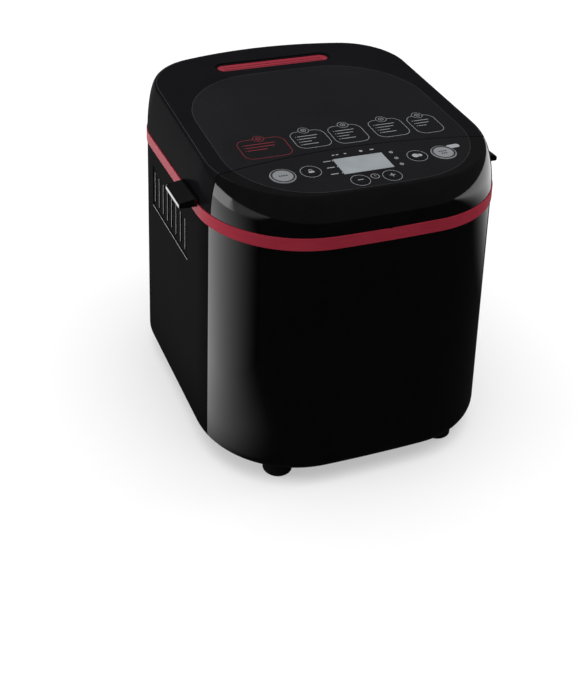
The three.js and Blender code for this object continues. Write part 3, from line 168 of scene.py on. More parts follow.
# Fluoropolymer non-stick coat on an aluminium pan: dark grey, with a sprayed speckle.
NON_STICK = grained("fluoropolymer_coat", "#222224", "#343437", 0.38, 0.52, 950, 0.22, IOR=1.38)
# Glass-filled polyamide of the working parts: dull charcoal.
INNER_PLASTIC = grained("glass_filled_polyamide", "#232325", "#2d2d2f", 0.5, 0.64, 800, 0.2, IOR=1.53)
RUBBER = grained("moulded_nitrile_rubber", "#0d0d0e", "#141415", 0.72, 0.86, 900, 0.22, IOR=1.52,
                 Specular_IOR_Level=0.15)
SILICONE = grained("cured_silicone", "#7c322c", "#8c3a34", 0.55, 0.66, 700, 0.12, IOR=1.41)
BRONZE = grained("sintered_bronze", "#8a5f2e", "#a5733c", 0.36, 0.48, 1500, 0.2, Metallic=1)
BOARD = grained("epoxy_glass_board", "#17492d", "#1f5c3a", 0.4, 0.52, 900, 0.1, IOR=1.55)


# ---- Meshes ----
def finish_piece(name, mesh, body, material, replaced=(), bevel=0.0, segments=2, angle=35):
    """A mesh in the row frame as a piece on its body, with softened edges and smooth faces between."""
    if isinstance(mesh, bmesh.types.BMesh):
        made = bpy.data.meshes.new(name)
        mesh.to_mesh(made)
        mesh.free()
        mesh = made
    mesh.name = name
    piece = bpy.data.objects.new(name, mesh)
    bpy.context.scene.collection.objects.link(piece)
    mesh.materials.clear()
    mesh.materials.append(material)
    if bevel:
        edge = piece.modifiers.new("edge", "BEVEL")
        edge.width, edge.segments, edge.limit_method = bevel, segments, "ANGLE"
        edge.angle_limit, edge.use_clamp_overlap = math.radians(angle), True
    for face in mesh.polygons:
        face.use_smooth = True
    mesh.set_sharp_from_angle(angle=math.radians(angle))
    weights = piece.modifiers.new("normals", "WEIGHTED_NORMAL")
    weights.keep_sharp = True
    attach(piece, body)
    if replaced:
        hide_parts(*replaced)
    return piece


def plan_loop(bm, plan, height, steps=22):
    """One closed outline seen from above: bowed front and rear, round corners, straight sides.
    Each arc is a vertex spun about its own centre, for one half, which is then mirrored."""
    side, front, rear = plan["side"], plan["front"], plan["rear"]
    front_bulge, front_corner = plan["front_bulge"], plan["front_corner"]
    rear_bulge, rear_corner = plan["rear_bulge"], plan["rear_corner"]
    front_radius = (side ** 2 + front_bulge ** 2) / (2 * front_bulge)
    rear_radius = (side ** 2 + rear_bulge ** 2) / (2 * rear_bulge)
    front_x, rear_x = side - front_corner, side - rear_corner
    front_y = math.sqrt((front_radius - front_corner) ** 2 - front_x ** 2)
    rear_y = math.sqrt((rear_radius - rear_corner) ** 2 - rear_x ** 2)
    front_turn, rear_turn = math.atan2(front_x, front_y), math.atan2(rear_x, rear_y)
    quarter = math.pi / 2
    arcs = [
        ((0, front + front_radius), front_turn, steps // 2),
        ((front_x, front + front_radius - front_y), quarter - front_turn, steps),
        ((rear_x, rear - rear_radius + rear_y), quarter - rear_turn, steps),
        ((0, rear - rear_radius), rear_turn, steps // 2),
    ]
    known_verts = set(bm.verts)
    known_edges = set(bm.edges)
    last = bm.verts.new((0, front, 0))
    for k, (centre, turn, count) in enumerate(arcs):
        if k == 2:
            following = bm.verts.new((side, centre[1], 0))
            bm.edges.new((last, following))
            last = following
        spun = bmesh.ops.spin(bm, geom=[last], cent=(*centre, 0), axis=(0, 0, 1), angle=turn,
                              steps=count, use_merge=False, use_duplicate=False)
        last = next(e for e in spun["geom_last"] if isinstance(e, bmesh.types.BMVert))
    new = [v for v in bm.verts if v not in known_verts]
    edges = [e for e in bm.edges if e not in known_edges]
    for v in new:
        if abs(v.co.x) < 1e-6:
            v.co.x = 0
    bmesh.ops.mirror(bm, geom=new + edges, matrix=Matrix.Identity(4), merge_dist=1e-6, axis="X")
    new = [v for v in bm.verts if v not in known_verts]
    edges = [e for e in bm.edges if e not in known_edges]
    for v in new:
        v.co.z = height(v.co.y) if callable(height) else height
        v.co.y += CENTRE_Y
    return edges


def casing_plan(inset):
    side, front, rear = inset if isinstance(inset, (tuple, list)) else (inset,) * 3
    return dict(side=HALF_WIDTH - side, front=-HALF_DEPTH + front, rear=HALF_DEPTH - rear,
                front_bulge=FRONT_BULGE, front_corner=FRONT_CORNER - (side + front) / 2,
                rear_bulge=REAR_BULGE, rear_corner=REAR_CORNER - (side + rear) / 2)


def stack(plans, looped=False):
    """Outlines joined into a closed skin; a looped one closes on itself, as a wall does."""
    bm = bmesh.new()
    loops = [plan_loop(bm, plan, height) for plan, height in plans]
    pairs = list(zip(loops, loops[1:])) + ([(loops[-1], loops[0])] if looped else [])
    for low, high in pairs:
        bmesh.ops.bridge_loops(bm, edges=low + high)
    if not looped:
        for loop in (loops[0], loops[-1]):
            bmesh.ops.contextual_create(bm, geom=loop)
    bmesh.ops.recalc_face_normals(bm, faces=bm.faces)
    return bm


def top_at(y):
    return TOP_MID + TOP_SLOPE * y


def cut_off(bm, y, keep_front):
    """Cuts a closed skin at a plane across the machine and closes the cut."""
    geom = list(bm.verts) + list(bm.edges) + list(bm.faces)
    bmesh.ops.bisect_plane(bm, geom=geom, dist=1e-7, plane_co=(0, y, 0), plane_no=(0, 1, 0),
                           clear_outer=keep_front, clear_inner=not keep_front)
    rim = [e for e in bm.edges if e.is_boundary]
    for hand in (-1, 1):
        bmesh.ops.edgeloop_fill(bm, edges=[e for e in rim if e.verts[0].co.x * hand > 0])
    bmesh.ops.recalc_face_normals(bm, faces=bm.faces)
    return bm


def as_object(bm, name="cutter"):
    mesh = bpy.data.meshes.new(name)
    bm.to_mesh(mesh)
    bm.free()
    made = bpy.data.objects.new(name, mesh)
    bpy.context.scene.collection.objects.link(made)
    return made


def carve(bm, *steps):
    """The solid after each (operation, other solid) in turn, as a mesh."""
    whole = as_object(bm, "whole")
    others = []
    for operation, other in steps:
        tool = as_object(other)
        others.append(tool)
        step = whole.modifiers.new(operation, "BOOLEAN")
        step.operation, step.solver, step.object = operation, "EXACT", tool
    evaluated = whole.evaluated_get(bpy.context.evaluated_depsgraph_get())
    mesh = bpy.data.meshes.new_from_object(evaluated)
    for spent in [whole, *others]:
        bpy.data.objects.remove(spent)
    return mesh


def block(x0, x1, y0, y1, z0, z1):
    bm = bmesh.new()
    bmesh.ops.create_cube(bm, size=1)
    bmesh.ops.scale(bm, vec=(x1 - x0, y1 - y0, z1 - z0), verts=bm.verts)
    bmesh.ops.translate(bm, vec=((x0 + x1) / 2, (y0 + y1) / 2, (z0 + z1) / 2), verts=bm.verts)
    return bm


def merged(parts):
    """Several separate solids as one mesh."""
    bm = bmesh.new()
    for part in parts:
        mesh = bpy.data.meshes.new("part")
        part.to_mesh(mesh)
        part.free()
        bm.from_mesh(mesh)
        bpy.data.meshes.remove(mesh)
    return bm


def turned(profile, steps=64, matrix=None):
    """A profile of (radius, height) pairs spun about the upright axis."""
    bm = bmesh.new()
    verts = [bm.verts.new((r, 0, z)) for r, z in profile]
    edges = [bm.edges.new(pair) for pair in zip(verts, verts[1:])]
    bmesh.ops.spin(bm, geom=verts + edges, axis=(0, 0, 1), cent=(0, 0, 0), angle=2 * math.pi,
                   steps=steps, use_merge=True, use_duplicate=False)
    bmesh.ops.remove_doubles(bm, verts=bm.verts, dist=1e-6)
    bmesh.ops.recalc_face_normals(bm, faces=bm.faces)
    if matrix is not None:
        bmesh.ops.transform(bm, matrix=matrix, verts=bm.verts)
    return bm


def on_top(x, y, z=0.0):
    """A place on the sloping top, in mm across and from mid depth."""
    return TOP_FRAME @ Matrix.Translation((x * MM, y * MM, z * MM))


# ---- Printed marks: thin ink on the top, all drawn in mm in the top's own frame ----
INK = 0.06


def rounded_face(bm, width, depth, radius):
    """A flat rectangle with rounded corners about the origin."""
    bmesh.ops.create_grid(bm, x_segments=1, y_segments=1, size=0.5)
    bmesh.ops.scale(bm, vec=(width, depth, 1), verts=bm.verts)
    if radius > 0:
        bmesh.ops.bevel(bm, geom=list(bm.verts), offset=radius, segments=7, profile=0.5,
                        affect="VERTICES", material=-1)
    return list(bm.faces)


def inked(bm, x, y, turn=0.0, height=INK):
    """Gives flat faces the ink's thickness and puts them on the top."""
    lifted = bmesh.ops.extrude_face_region(bm, geom=list(bm.faces))
    raised = [v for v in lifted["geom"] if isinstance(v, bmesh.types.BMVert)]
    bmesh.ops.translate(bm, vec=(0, 0, height), verts=raised)
    bmesh.ops.recalc_face_normals(bm, faces=bm.faces)
    scaled = Matrix.Rotation(turn, 4, "Z") @ Matrix.Scale(MM, 4)
    bmesh.ops.transform(bm, matrix=on_top(x, y, 0.02) @ scaled, verts=bm.verts)
    return bm


def bar(x, y, width, depth, radius=0.3, turn=0.0):
    bm = bmesh.new()
    rounded_face(bm, width, depth, min(radius, depth * 0.45))
    return inked(bm, x, y, turn)


def frame_mark(x, y, width, depth, radius, line):
    """The outline of a rounded rectangle."""
    bm = bmesh.new()
    faces = rounded_face(bm, width, depth, radius)
    bmesh.ops.inset_region(bm, faces=faces, thickness=line, use_even_offset=True, use_boundary=True)
    inner = [f for f in bm.faces if len(f.verts) > 4]
    bmesh.ops.delete(bm, geom=inner, context="FACES")
    return inked(bm, x, y)


def ring_mark(x, y, outer, line, steps=40):
    bm = bmesh.new()
    bmesh.ops.create_circle(bm, cap_ends=True, radius=outer, segments=steps)
    bmesh.ops.inset_region(bm, faces=list(bm.faces), thickness=line, use_even_offset=True, use_boundary=True)
    inner = [f for f in bm.faces if len(f.verts) > 4]
    bmesh.ops.delete(bm, geom=inner, context="FACES")
    return inked(bm, x, y)


def disc_mark(x, y, radius, steps=32, height=INK):
    bm = bmesh.new()
    bmesh.ops.create_circle(bm, cap_ends=True, radius=radius, segments=steps)
    return inked(bm, x, y, height=height)


# ---- Casing ----
def lower_wall():
    """The wall under the band, its lower edge rounded in 12 mm."""
    top = BAND_LOW.z - GAP
    edge, steps = 12 * MM, 8
    centre = BAND_PROUD + edge
    rings = []
    for radius, order in ((edge, range(steps + 1)), (edge - WALL, range(steps, -1, -1))):
        for k in order:
            turn = math.pi / 2 * k / steps
            inset = centre - radius * math.sin(turn)
            rings.append((casing_plan(inset), FOOT_HEIGHT + edge - radius * math.cos(turn)))
            if radius == edge and k == steps:
                rings += [(casing_plan(BAND_PROUD), top), (casing_plan(BAND_PROUD + WALL), top)]
    return stack(rings, looped=True)


wrap = cut_off(lower_wall(), CENTRE_Y + WRAP_SEAM_Y - GAP / 2, True)
finish_piece("piano_front_wrap", wrap, "base", PIANO_BLACK, ["front_wrap"], 0.5 * MM)

SLOTS, SLOT_PITCH, SLOT_WIDTH, SLOT_FRONT = 8, 14.5 * MM, 3.6 * MM, -34.5 * MM
SLOT_LOW, SLOT_HIGH, MARGIN = 190 * MM, 222.5 * MM, 6 * MM
face = HALF_WIDTH - BAND_PROUD
holes = []
for hand in (-1, 1):
    near, far = sorted((hand * (face - 0.8 * MM), hand * (face + WALL)))
    front = CENTRE_Y + SLOT_FRONT - MARGIN
    rear = CENTRE_Y + SLOT_FRONT + (SLOTS - 1) * SLOT_PITCH + SLOT_WIDTH + MARGIN
    holes.append(("DIFFERENCE", block(near, far, front, rear, SLOT_LOW - MARGIN, SLOT_HIGH + MARGIN)))
    slots = []
    for k in range(SLOTS):
        y = CENTRE_Y + SLOT_FRONT + k * SLOT_PITCH
        x0, x1 = sorted((hand * (face - 2 * WALL), hand * (face + WALL)))
        slots.append(block(x0, x1, y, y + SLOT_WIDTH, SLOT_LOW, SLOT_HIGH))
    holes.append(("DIFFERENCE", merged(slots)))
gland_low, gland_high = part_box("cord_gland")
gland_x, gland_z = (gland_low.x + gland_high.x) / 2, (gland_low.z + gland_high.z) / 2
bore = turned([(0, 0), (8.3 * MM, 0), (8.3 * MM, 0.4), (0, 0.4)], 48,
              Matrix.Translation((gland_x, 0, gland_z)) @ Matrix.Rotation(-math.pi / 2, 4, "X"))
shell = cut_off(lower_wall(), CENTRE_Y + WRAP_SEAM_Y + GAP / 2, False)
shell = carve(shell, *holes, ("DIFFERENCE", bore))
finish_piece("satin_rear_casing", shell, "base", SATIN_BLACK, ["rear_casing"], 0.3 * MM)

# Pale grey for the painted highlights on the slots' edges.
SLOT_HIGHLIGHT_PAINT = grained("painted_slot_edge_highlight", "#38383b", "#464649", 0.3, 0.4, 900, 0.05, IOR=1.53)
for hand, side in ((-1, "left"), (1, "right")):
    # Painted highlight: a pale strip on the rear edge of each slot, and one along the lower edge of the
    # slotted panel, where light catches the edges.
    floor_x = hand * (face - 0.8 * MM)
    lips = []
    for k in range(SLOTS):
        y = CENTRE_Y + SLOT_FRONT + k * SLOT_PITCH + SLOT_WIDTH
        x0, x1 = sorted((floor_x - hand * 0.1 * MM, floor_x + hand * 0.12 * MM))
        lips.append(block(x0, x1, y, y + 0.7 * MM, SLOT_LOW, SLOT_HIGH))
    x0, x1 = sorted((hand * (face - 0.1 * MM), hand * (face + 0.1 * MM)))
    front = CENTRE_Y + SLOT_FRONT - MARGIN
    rear = CENTRE_Y + SLOT_FRONT + (SLOTS - 1) * SLOT_PITCH + SLOT_WIDTH + MARGIN
    lips.append(block(x0, x1, front, rear, SLOT_LOW - MARGIN - 0.6 * MM, SLOT_LOW - MARGIN))
    finish_piece(f"slot_lip_highlights_{side}", merged(lips), "base", SLOT_HIGHLIGHT_PAINT)

band = stack([(casing_plan(inset), z) for inset, z in (
    (0, BAND_LOW.z), (0, BAND_TOP), (WALL, BAND_TOP), (WALL, BAND_LOW.z))], looped=True)
finish_piece("anodised_trim_band", band, "base", RED_BAND, ["trim_band"], 0.9 * MM, 4)


# ---- Lid and control housing: one domed form, cut by the seam ----
def top_form(wall, bottom, steps=12):
    """The domed top: rings that follow a rounded edge up to the sloping flat."""
    rings = []
    for k in range(steps + 1):
        turn = math.pi / 2 * k / steps
        rise = math.sin(turn) ** (2 / TOP_CURVE)
        inward = 1 - math.cos(turn) ** (2 / TOP_CURVE) if k < steps else 1
        inset = tuple(BAND_PROUD + wall + (full - BAND_PROUD) * inward for full in TOP_INSET)
        rings.append((casing_plan(inset), lambda y, s=rise: bottom + (top_at(y) - wall - bottom) * s))
    return stack(rings)


def seam_cutter(setback):
    """Everything in front of the seam: a tall drum, moved forward by the setback."""
    bm = bmesh.new()
    bmesh.ops.create_circle(bm, cap_ends=True, radius=LID_SEAM_RADIUS - setback, segments=360)
    lifted = bmesh.ops.extrude_face_region(bm, geom=list(bm.faces))
    raised = [v for v in lifted["geom"] if isinstance(v, bmesh.types.BMVert)]
    bmesh.ops.translate(bm, vec=(0, 0, 0.5), verts=raised)
    bmesh.ops.translate(bm, vec=(0, CENTRE_Y + LID_SEAM_Y - LID_SEAM_RADIUS, 0), verts=bm.verts)
    bmesh.ops.recalc_face_normals(bm, faces=bm.faces)
    return bm


def top_plate(grow, depth, height):
    plan = {key: value * MM for key, value in PLATE.items()}
    plan["side"] += grow
    plan["front"] -= grow
    plan["rear"] += grow
    plan["front_corner"] += grow
    plan["rear_corner"] += grow
    return stack([(plan, lambda y: top_at(y) - depth), (plan, lambda y: top_at(y) + height)])


def upright_hole(x, y, radius):
    profile = [(0, -12 * MM), (radius * MM, -12 * MM), (radius * MM, 12 * MM), (0, 12 * MM)]
    return turned(profile, 64, on_top(x, y))


def long_round(length, width, low, high, x=0.0, y=0.0):
    """An upright solid with round ends, in mm, on the top's frame."""
    bm = bmesh.new()
    bmesh.ops.create_circle(bm, cap_ends=True, radius=width / 2, segments=48)
    for v in bm.verts:
        if abs(v.co.x) > 1e-6:
            v.co.x += math.copysign((length - width) / 2, v.co.x)
    lifted = bmesh.ops.extrude_face_region(bm, geom=list(bm.faces))
    raised = [v for v in lifted["geom"] if isinstance(v, bmesh.types.BMVert)]
    bmesh.ops.translate(bm, vec=(0, 0, high - low), verts=raised)
    bmesh.ops.translate(bm, vec=(0, 0, low), verts=bm.verts)
    bmesh.ops.recalc_face_normals(bm, faces=bm.faces)
    bmesh.ops.transform(bm, matrix=on_top(x, y) @ Matrix.Scale(MM, 4), verts=bm.verts)
    return bm


BUTTONS = {
    "menu": (-79, -112.5, 12), "weight": (-52, -111.5, 8.8), "minus": (-15.5, -137, 8),
    "plus": (15.5, -137, 8), "crust": (53.5, -111.5, 8.8), "start": (80, -112.5, 12),
}
LCD_WIDTH, LCD_DEPTH, LCD_Y = 49, 27, -110


def control_holes():
    holes = [("DIFFERENCE", upright_hole(x, y, r + 0.3)) for x, y, r in BUTTONS.values()]
    window = block(-LCD_WIDTH / 2 - 0.3, LCD_WIDTH / 2 + 0.3, LCD_Y - LCD_DEPTH / 2 - 0.3,
                   LCD_Y + LCD_DEPTH / 2 + 0.3, -12, 12)
    bmesh.ops.transform(window, matrix=TOP_FRAME @ Matrix.Scale(MM, 4), verts=window.verts)
    return [*holes, ("DIFFERENCE", window)]


fascia_low = BAND_TOP + GAP
fascia = carve(top_form(0, fascia_low), ("INTERSECT", seam_cutter(SEAM / 2)),
               ("DIFFERENCE", top_form(WALL, fascia_low - GAP)),
               ("DIFFERENCE", top_plate(GAP, 0.9 * MM + GAP, WALL)), *control_holes())
finish_piece("piano_front_fascia", fascia, "base", PIANO_BLACK, ["front_fascia"], 0.4 * MM)
panel = carve(top_plate(0, 0.9 * MM, 0), ("INTERSECT", seam_cutter(SEAM / 2)), *control_holes())
finish_piece("printed_control_panel", panel, "base", PRINTED_SHEET, ["control_panel"],
             0.25 * MM)

lid_low = BAND_TOP + 0.8 * MM
pin_low, pin_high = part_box("hinge_pin")
HINGE_Y, HINGE_Z = (pin_low.y + pin_high.y) / 2, (pin_low.z + pin_high.z) / 2
KNUCKLE = 5 * MM
OVEN_Y = CENTRE_Y + 40 * MM


def along_x(x0, x1, y, z, radius, steps=40, edge=0.0):
    """A round bar across the machine, its ends softened where an edge is given."""
    profile = [(0, x0), (radius - edge, x0), (radius, x0 + edge), (radius, x1 - edge),
               (radius - edge, x1), (0, x1)]
    place = Matrix.Translation((0, y, z)) @ Matrix.Rotation(math.pi / 2, 4, "Y")
    return turned(profile, steps, place)


screw_low, screw_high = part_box("lid_screw_right")
screw_x = (screw_low.x + screw_high.x) / 2
fittings = []
for hand in (-1, 1):
    boss = turned([(0, screw_low.z + 3.9 * MM), (6.4 * MM, screw_low.z + 3.9 * MM),
                   (6.4 * MM, top_at(40 * MM) - 2 * MM), (0, top_at(40 * MM) - 2 * MM)], 40,
                  Matrix.Translation((hand * screw_x, OVEN_Y, 0)))
    x0, x1 = sorted((hand * 41.4 * MM, hand * 29.4 * MM))
    web = block(x0, x1, CENTRE_Y + HALF_DEPTH - 7 * MM, HINGE_Y, HINGE_Z, HINGE_Z + KNUCKLE)
    fittings += [boss, along_x(x0, x1, HINGE_Y, HINGE_Z, KNUCKLE), web]
hollow = [("DIFFERENCE", seam_cutter(-SEAM / 2)), ("DIFFERENCE", top_form(WALL, lid_low - GAP)),
          ("DIFFERENCE", top_plate(GAP, 0.9 * MM + GAP, WALL)),
          ("DIFFERENCE", long_round(130, 20, -6, 6, 0, 112.5))]
drilled = [along_x(-0.2, 0.2, HINGE_Y, HINGE_Z, 2.3 * MM)]
for hand in (-1, 1):
    drilled.append(turned([(0, 0), (1.9 * MM, 0), (1.9 * MM, screw_high.z + MM), (0, screw_high.z + MM)],
                          24, Matrix.Translation((hand * screw_x, OVEN_Y, 0))))
lid = carve(top_form(0, lid_low), *hollow, *[("UNION", part) for part in fittings],
            ("DIFFERENCE", merged(drilled)))
finish_piece("satin_lid_shell", lid, "lid", LID_BLACK, ["lid_shell"], 0.4 * MM)
plate = carve(top_plate(0, 0.9 * MM, 0), ("DIFFERENCE", seam_cutter(-SEAM / 2)))
finish_piece("printed_program_plate", plate, "lid", PRINTED_SHEET, ["program_plate"],
             0.25 * MM)

# ---- Vent and grips on the lid ----
VENT_Y = 112.5  # the vent's middle, behind the middle of the casing, in millimetres
insert = carve(long_round(129.4, 19.4, -4.3, -2), ("UNION", long_round(136, 26, -6.3, -3.5)),
               ("DIFFERENCE", long_round(112, 1.4, -3.4, 4, 0, 1.6)),
               ("DIFFERENCE", long_round(112, 1.4, -3.4, 4, 0, -3.4)))
placed_insert = bmesh.new()
placed_insert.from_mesh(insert)
bmesh.ops.transform(placed_insert, matrix=on_top(0, VENT_Y) @ on_top(0, 0).inverted(),
                    verts=placed_insert.verts)
finish_piece("red_vent_insert", placed_insert, "lid", RED_PLASTIC, ["vent_insert"], 0.25 * MM)

# A black ring over the insert's edge: painted shade for the dark gap in the vent's recess.
rim = carve(long_round(129.2, 19.2, -1.95, -1.2, 0, VENT_Y),
            ("DIFFERENCE", long_round(125, 15, -4, 2, 0, VENT_Y)))
finish_piece("vent_painted_shade_ring", rim, "lid", VENT_PAINTED_SHADE)


def grip(hand):
    """A lifting grip: its section in x and z, extruded along the lid's side and softened all round."""
    low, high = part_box("grip_left" if hand < 0 else "grip_right")
    skirt, band, outer = HALF_WIDTH - BAND_PROUD + GAP, HALF_WIDTH + GAP, high.x if hand > 0 else -low.x
    base = low.z + 2 * MM
    section = [(skirt, base), (band, base), (band, low.z), (outer - 1 * MM, low.z), (outer, low.z + 1 * MM),
               (outer, low.z + 4 * MM), (outer - 2 * MM, low.z + 6 * MM), (skirt, base + 6.5 * MM)]
    bm = bmesh.new()
    corners = [bm.verts.new((hand * x, low.y, z)) for x, z in section]
    bm.faces.new(corners)
    lifted = bmesh.ops.extrude_face_region(bm, geom=list(bm.faces))
    far = [v for v in lifted["geom"] if isinstance(v, bmesh.types.BMVert)]
    bmesh.ops.translate(bm, vec=(0, high.y - low.y, 0), verts=far)
    bmesh.ops.recalc_face_normals(bm, faces=bm.faces)
    return bm


for hand, side in ((-1, "left"), (1, "right")):
    finish_piece(f"lid_grip_{side}", grip(hand), "lid", PIANO_BLACK, [f"grip_{side}"],
                 0.7 * MM, 3, 20)

# ---- Keys and display ----
ring_depth = 0.35


def key(name, x, y, radius):
    """A round key whose face has a shallow groove inside its rim."""
    top, foot = 0.6, -4.8
    profile = [(0, foot - 1), (radius + 1.2, foot - 1), (radius + 1.2, foot), (radius, foot),
               (radius, top - 0.5), (radius - 0.15, top - 0.15), (radius - 0.5, top), (radius * 0.84, top),
               (radius * 0.82, top - ring_depth), (radius * 0.77, top - ring_depth),
               (radius * 0.75, top), (0, top)]
    big = radius > 10
    bm = turned([(r * MM, z * MM) for r, z in profile], 64, on_top(x, y))
    finish_piece(f"key_{name}", bm, f"key_{name}", SILVER_LACQUER if big else PRINTED_SHEET,
                 [f"button_{name}"])


for name, (x, y, radius) in BUTTONS.items():
    key(name, x, y, radius)

window = bmesh.new()
bmesh.ops.create_cube(window, size=1)
bmesh.ops.scale(window, vec=(LCD_WIDTH, LCD_DEPTH, 2), verts=window.verts)
bmesh.ops.translate(window, vec=(0, LCD_Y, -1), verts=window.verts)
bmesh.ops.transform(window, matrix=TOP_FRAME @ Matrix.Scale(MM, 4), verts=window.verts)
finish_piece("display_window", window, "base", LCD_CELL, ["lcd_window"], 0.3 * MM)


# ---- Printed marks ----
def printed(name, marks, body, ink):
    finish_piece(name, merged(marks), body, ink)


# Program boxes: left edge, right edge, front and rear, and the badge's centre, all in mm.
BOXES = [
    (-99.8, -52.7, -78, -43, -76, -43),
    (-46, -11, -72, -40, -29, -39),
    (-7, 27, -73, -39, 12, -38.5),
    (35.7, 70, -72, -38, 53, -37.5),
    (76, 105, -75, -40, 91, -39.5),
]
for k, (left, far_right, front, rear, badge_x, badge_y) in enumerate(BOXES):
    ink = RED_INK if k == 0 else GREY_INK
    x, y = (left + far_right) / 2, (front + rear) / 2
    width, depth = far_right - left, rear - front
    marks = [frame_mark(x, y, width, depth, 9, 0.42), ring_mark(badge_x, badge_y, 5.4, 0.42)]
    marks.append(ring_mark(badge_x, badge_y, 2.6, 0.5, 24))
    marks.append(bar(badge_x, badge_y, 2.4, 0.6, 0.2, 0.6))
    rows = 3 if k in (0, 4) else 4
    for row in range(rows):
        share = (0.78, 0.66, 0.42, 0.6)[row] if k else (0.8, 0.74, 0.5)[row]
        length = (width - 9) * share
        marks.append(bar(left + 6.5 + length / 2, rear - 9.5 - row * 5, length, 0.75, 0.3))
        marks.append(bar(left + 5, rear - 9.5 - row * 5, 1.2, 0.75, 0.3))
    printed(f"program_box_{k + 1}", marks, "lid", ink)
    # The badge covers the box's edge with a disc of the sheet's own black.
    cover = disc_mark(badge_x, badge_y, 5.0, 32, 0.09)
    finish_piece(f"badge_ground_{k + 1}", cover, "lid", PRINTED_SHEET)
    for mark in (ring_mark(badge_x, badge_y, 2.6, 0.5, 24), bar(badge_x, badge_y, 2.4, 0.6, 0.2, 0.6)):
        bmesh.ops.translate(mark, vec=(0, 0, 0.00008), verts=mark.verts)
        finish_piece(f"badge_mark_{k + 1}", mark, "lid", ink)

panel_marks = []
for name, (x, y, radius) in BUTTONS.items():
    if radius < 10:
        panel_marks.append(ring_mark(x, y, radius + 0.9, 0.42, 56))
panel_marks += [ring_mark(0, -134, 4, 0.5), bar(0, -133, 0.5, 2, 0.2), bar(0.8, -134, 1.6, 0.5, 0.2)]
panel_marks += [bar(94.5, -104, 13, 6, 2.6, 0.05)]
panel_marks += [bar(-21 + 4 * k, -90, 2.6, 1.4, 0.4) for k in (0, 1, 3)]
panel_marks += [disc_mark(7, -89.5, 1.6, 24), bar(18, -89.5, 4, 1.6, 0.7)]
for k, y in enumerate((-99, -110, -121)):
    panel_marks += [bar(-31 - k, y, 7.5, 1.1, 0.4), bar(-25.6, y, 0.8, 1.6, 0.3)]
    panel_marks += [ring_mark(33, y, 1.9, 0.55, 24), disc_mark(33, y, 0.7, 16)]
printed("control_panel_marks", panel_marks, "base", GREY_INK)


def key_mark(name, marks, ink=None):
    raised = merged(marks)
    bmesh.ops.translate(raised, vec=(0, 0, 0.0006), verts=raised.verts)
    finish_piece(f"key_mark_{name}", raised, f"key_{name}", ink or GREY_INK)


DARK_INK = grained("black_screen_ink", "#2a2a2c", "#333335", 0.5, 0.62, 2400, 0.12, IOR=1.5)


def dashes(x, y, count, height):
    """A row of short bars that stands for a printed word."""
    return [bar(x + 2.2 * k, y, 1.3, height, 0.3) for k in range(count)]


key_mark("menu", [ring_mark(-79, -112.5, 11, 1.5, 56)] + dashes(-82, -112.5, 4, 2.0), DARK_INK)
key_mark("start", [ring_mark(80, -112.5, 11, 1.5, 56)] + dashes(76.5, -110.8, 4, 1.9)
         + dashes(77.5, -114.6, 3, 1.9), DARK_INK)
key_mark("weight", [bar(-52, -113.2, 5.4, 2.6, 0.8), ring_mark(-52, -110.3, 1.8, 0.6, 24)])
key_mark("minus", [bar(-15.5, -137, 5.4, 0.9)])
key_mark("plus", [bar(15.5, -137, 5.4, 0.9, turn=0.0), bar(15.5, -137, 5.4, 0.9, turn=math.pi / 2)])
key_mark("crust", [disc_mark(51.6, -111.5, 3.2), disc_mark(56, -111.8, 2.2)])

# ---- Painted highlights: fine bright lines along the edges on the top ----
TOP_EDGE_HIGHLIGHT_PAINT = grained("painted_edge_highlight_of_the_top", "#2c2c2e", "#38383b", 0.2, 0.3, 900, 0.05, IOR=1.53)


def edge_line(outer, inner, front_side):
    """A flat line between two outlines on the top, on one side of the seam: a painted highlight."""
    lift, sink = 0.08 * MM, 0.05 * MM
    low, high = (lambda y: top_at(y) - sink), (lambda y: top_at(y) + lift)
    line = stack([(outer, low), (outer, high), (inner, high), (inner, low)], looped=True)
    side = ("INTERSECT", seam_cutter(SEAM / 2)) if front_side else ("DIFFERENCE", seam_cutter(-SEAM / 2))
    return carve(line, side)


def shrunk(plan, by):
    return dict(plan, side=plan["side"] - by, front=plan["front"] + by, rear=plan["rear"] - by,
                front_corner=plan["front_corner"] - by, rear_corner=plan["rear_corner"] - by)


plate_plan = {key: value * MM for key, value in PLATE.items()}
rim_plan = shrunk(casing_plan(TOP_INSET), 0.4 * MM)
for body, in_front in (("lid", False), ("base", True)):
    line = edge_line(plate_plan, shrunk(plate_plan, 0.55 * MM), in_front)
    finish_piece(f"plate_edge_highlight_{body}", line, body, TOP_EDGE_HIGHLIGHT_PAINT)
    if not in_front:
        rim = edge_line(rim_plan, shrunk(rim_plan, 0.5 * MM), in_front)
        finish_piece(f"top_edge_highlight_{body}", rim, body, TOP_EDGE_HIGHLIGHT_PAINT)


# ---- The rest of the machine: the solids' own shapes with softened edges ----
BODY_OF = {node: body for body, nodes in frame["record"]["behaviour"]["bodies"].items() for node in nodes}


def soften(node, material, bevel=0.3):
    """A copy of a node with its doubles merged, its flats joined and its edges softened."""
    bm = bmesh.new()
    bm.from_mesh(frame["nodes"][node].data)
    bmesh.ops.remove_doubles(bm, verts=bm.verts, dist=2e-6)
    bmesh.ops.dissolve_limit(bm, angle_limit=math.radians(0.6), verts=bm.verts, edges=bm.edges)
    finish_piece(f"{node}_finished", bm, BODY_OF[node], material, [node], bevel * MM, 2, 32)


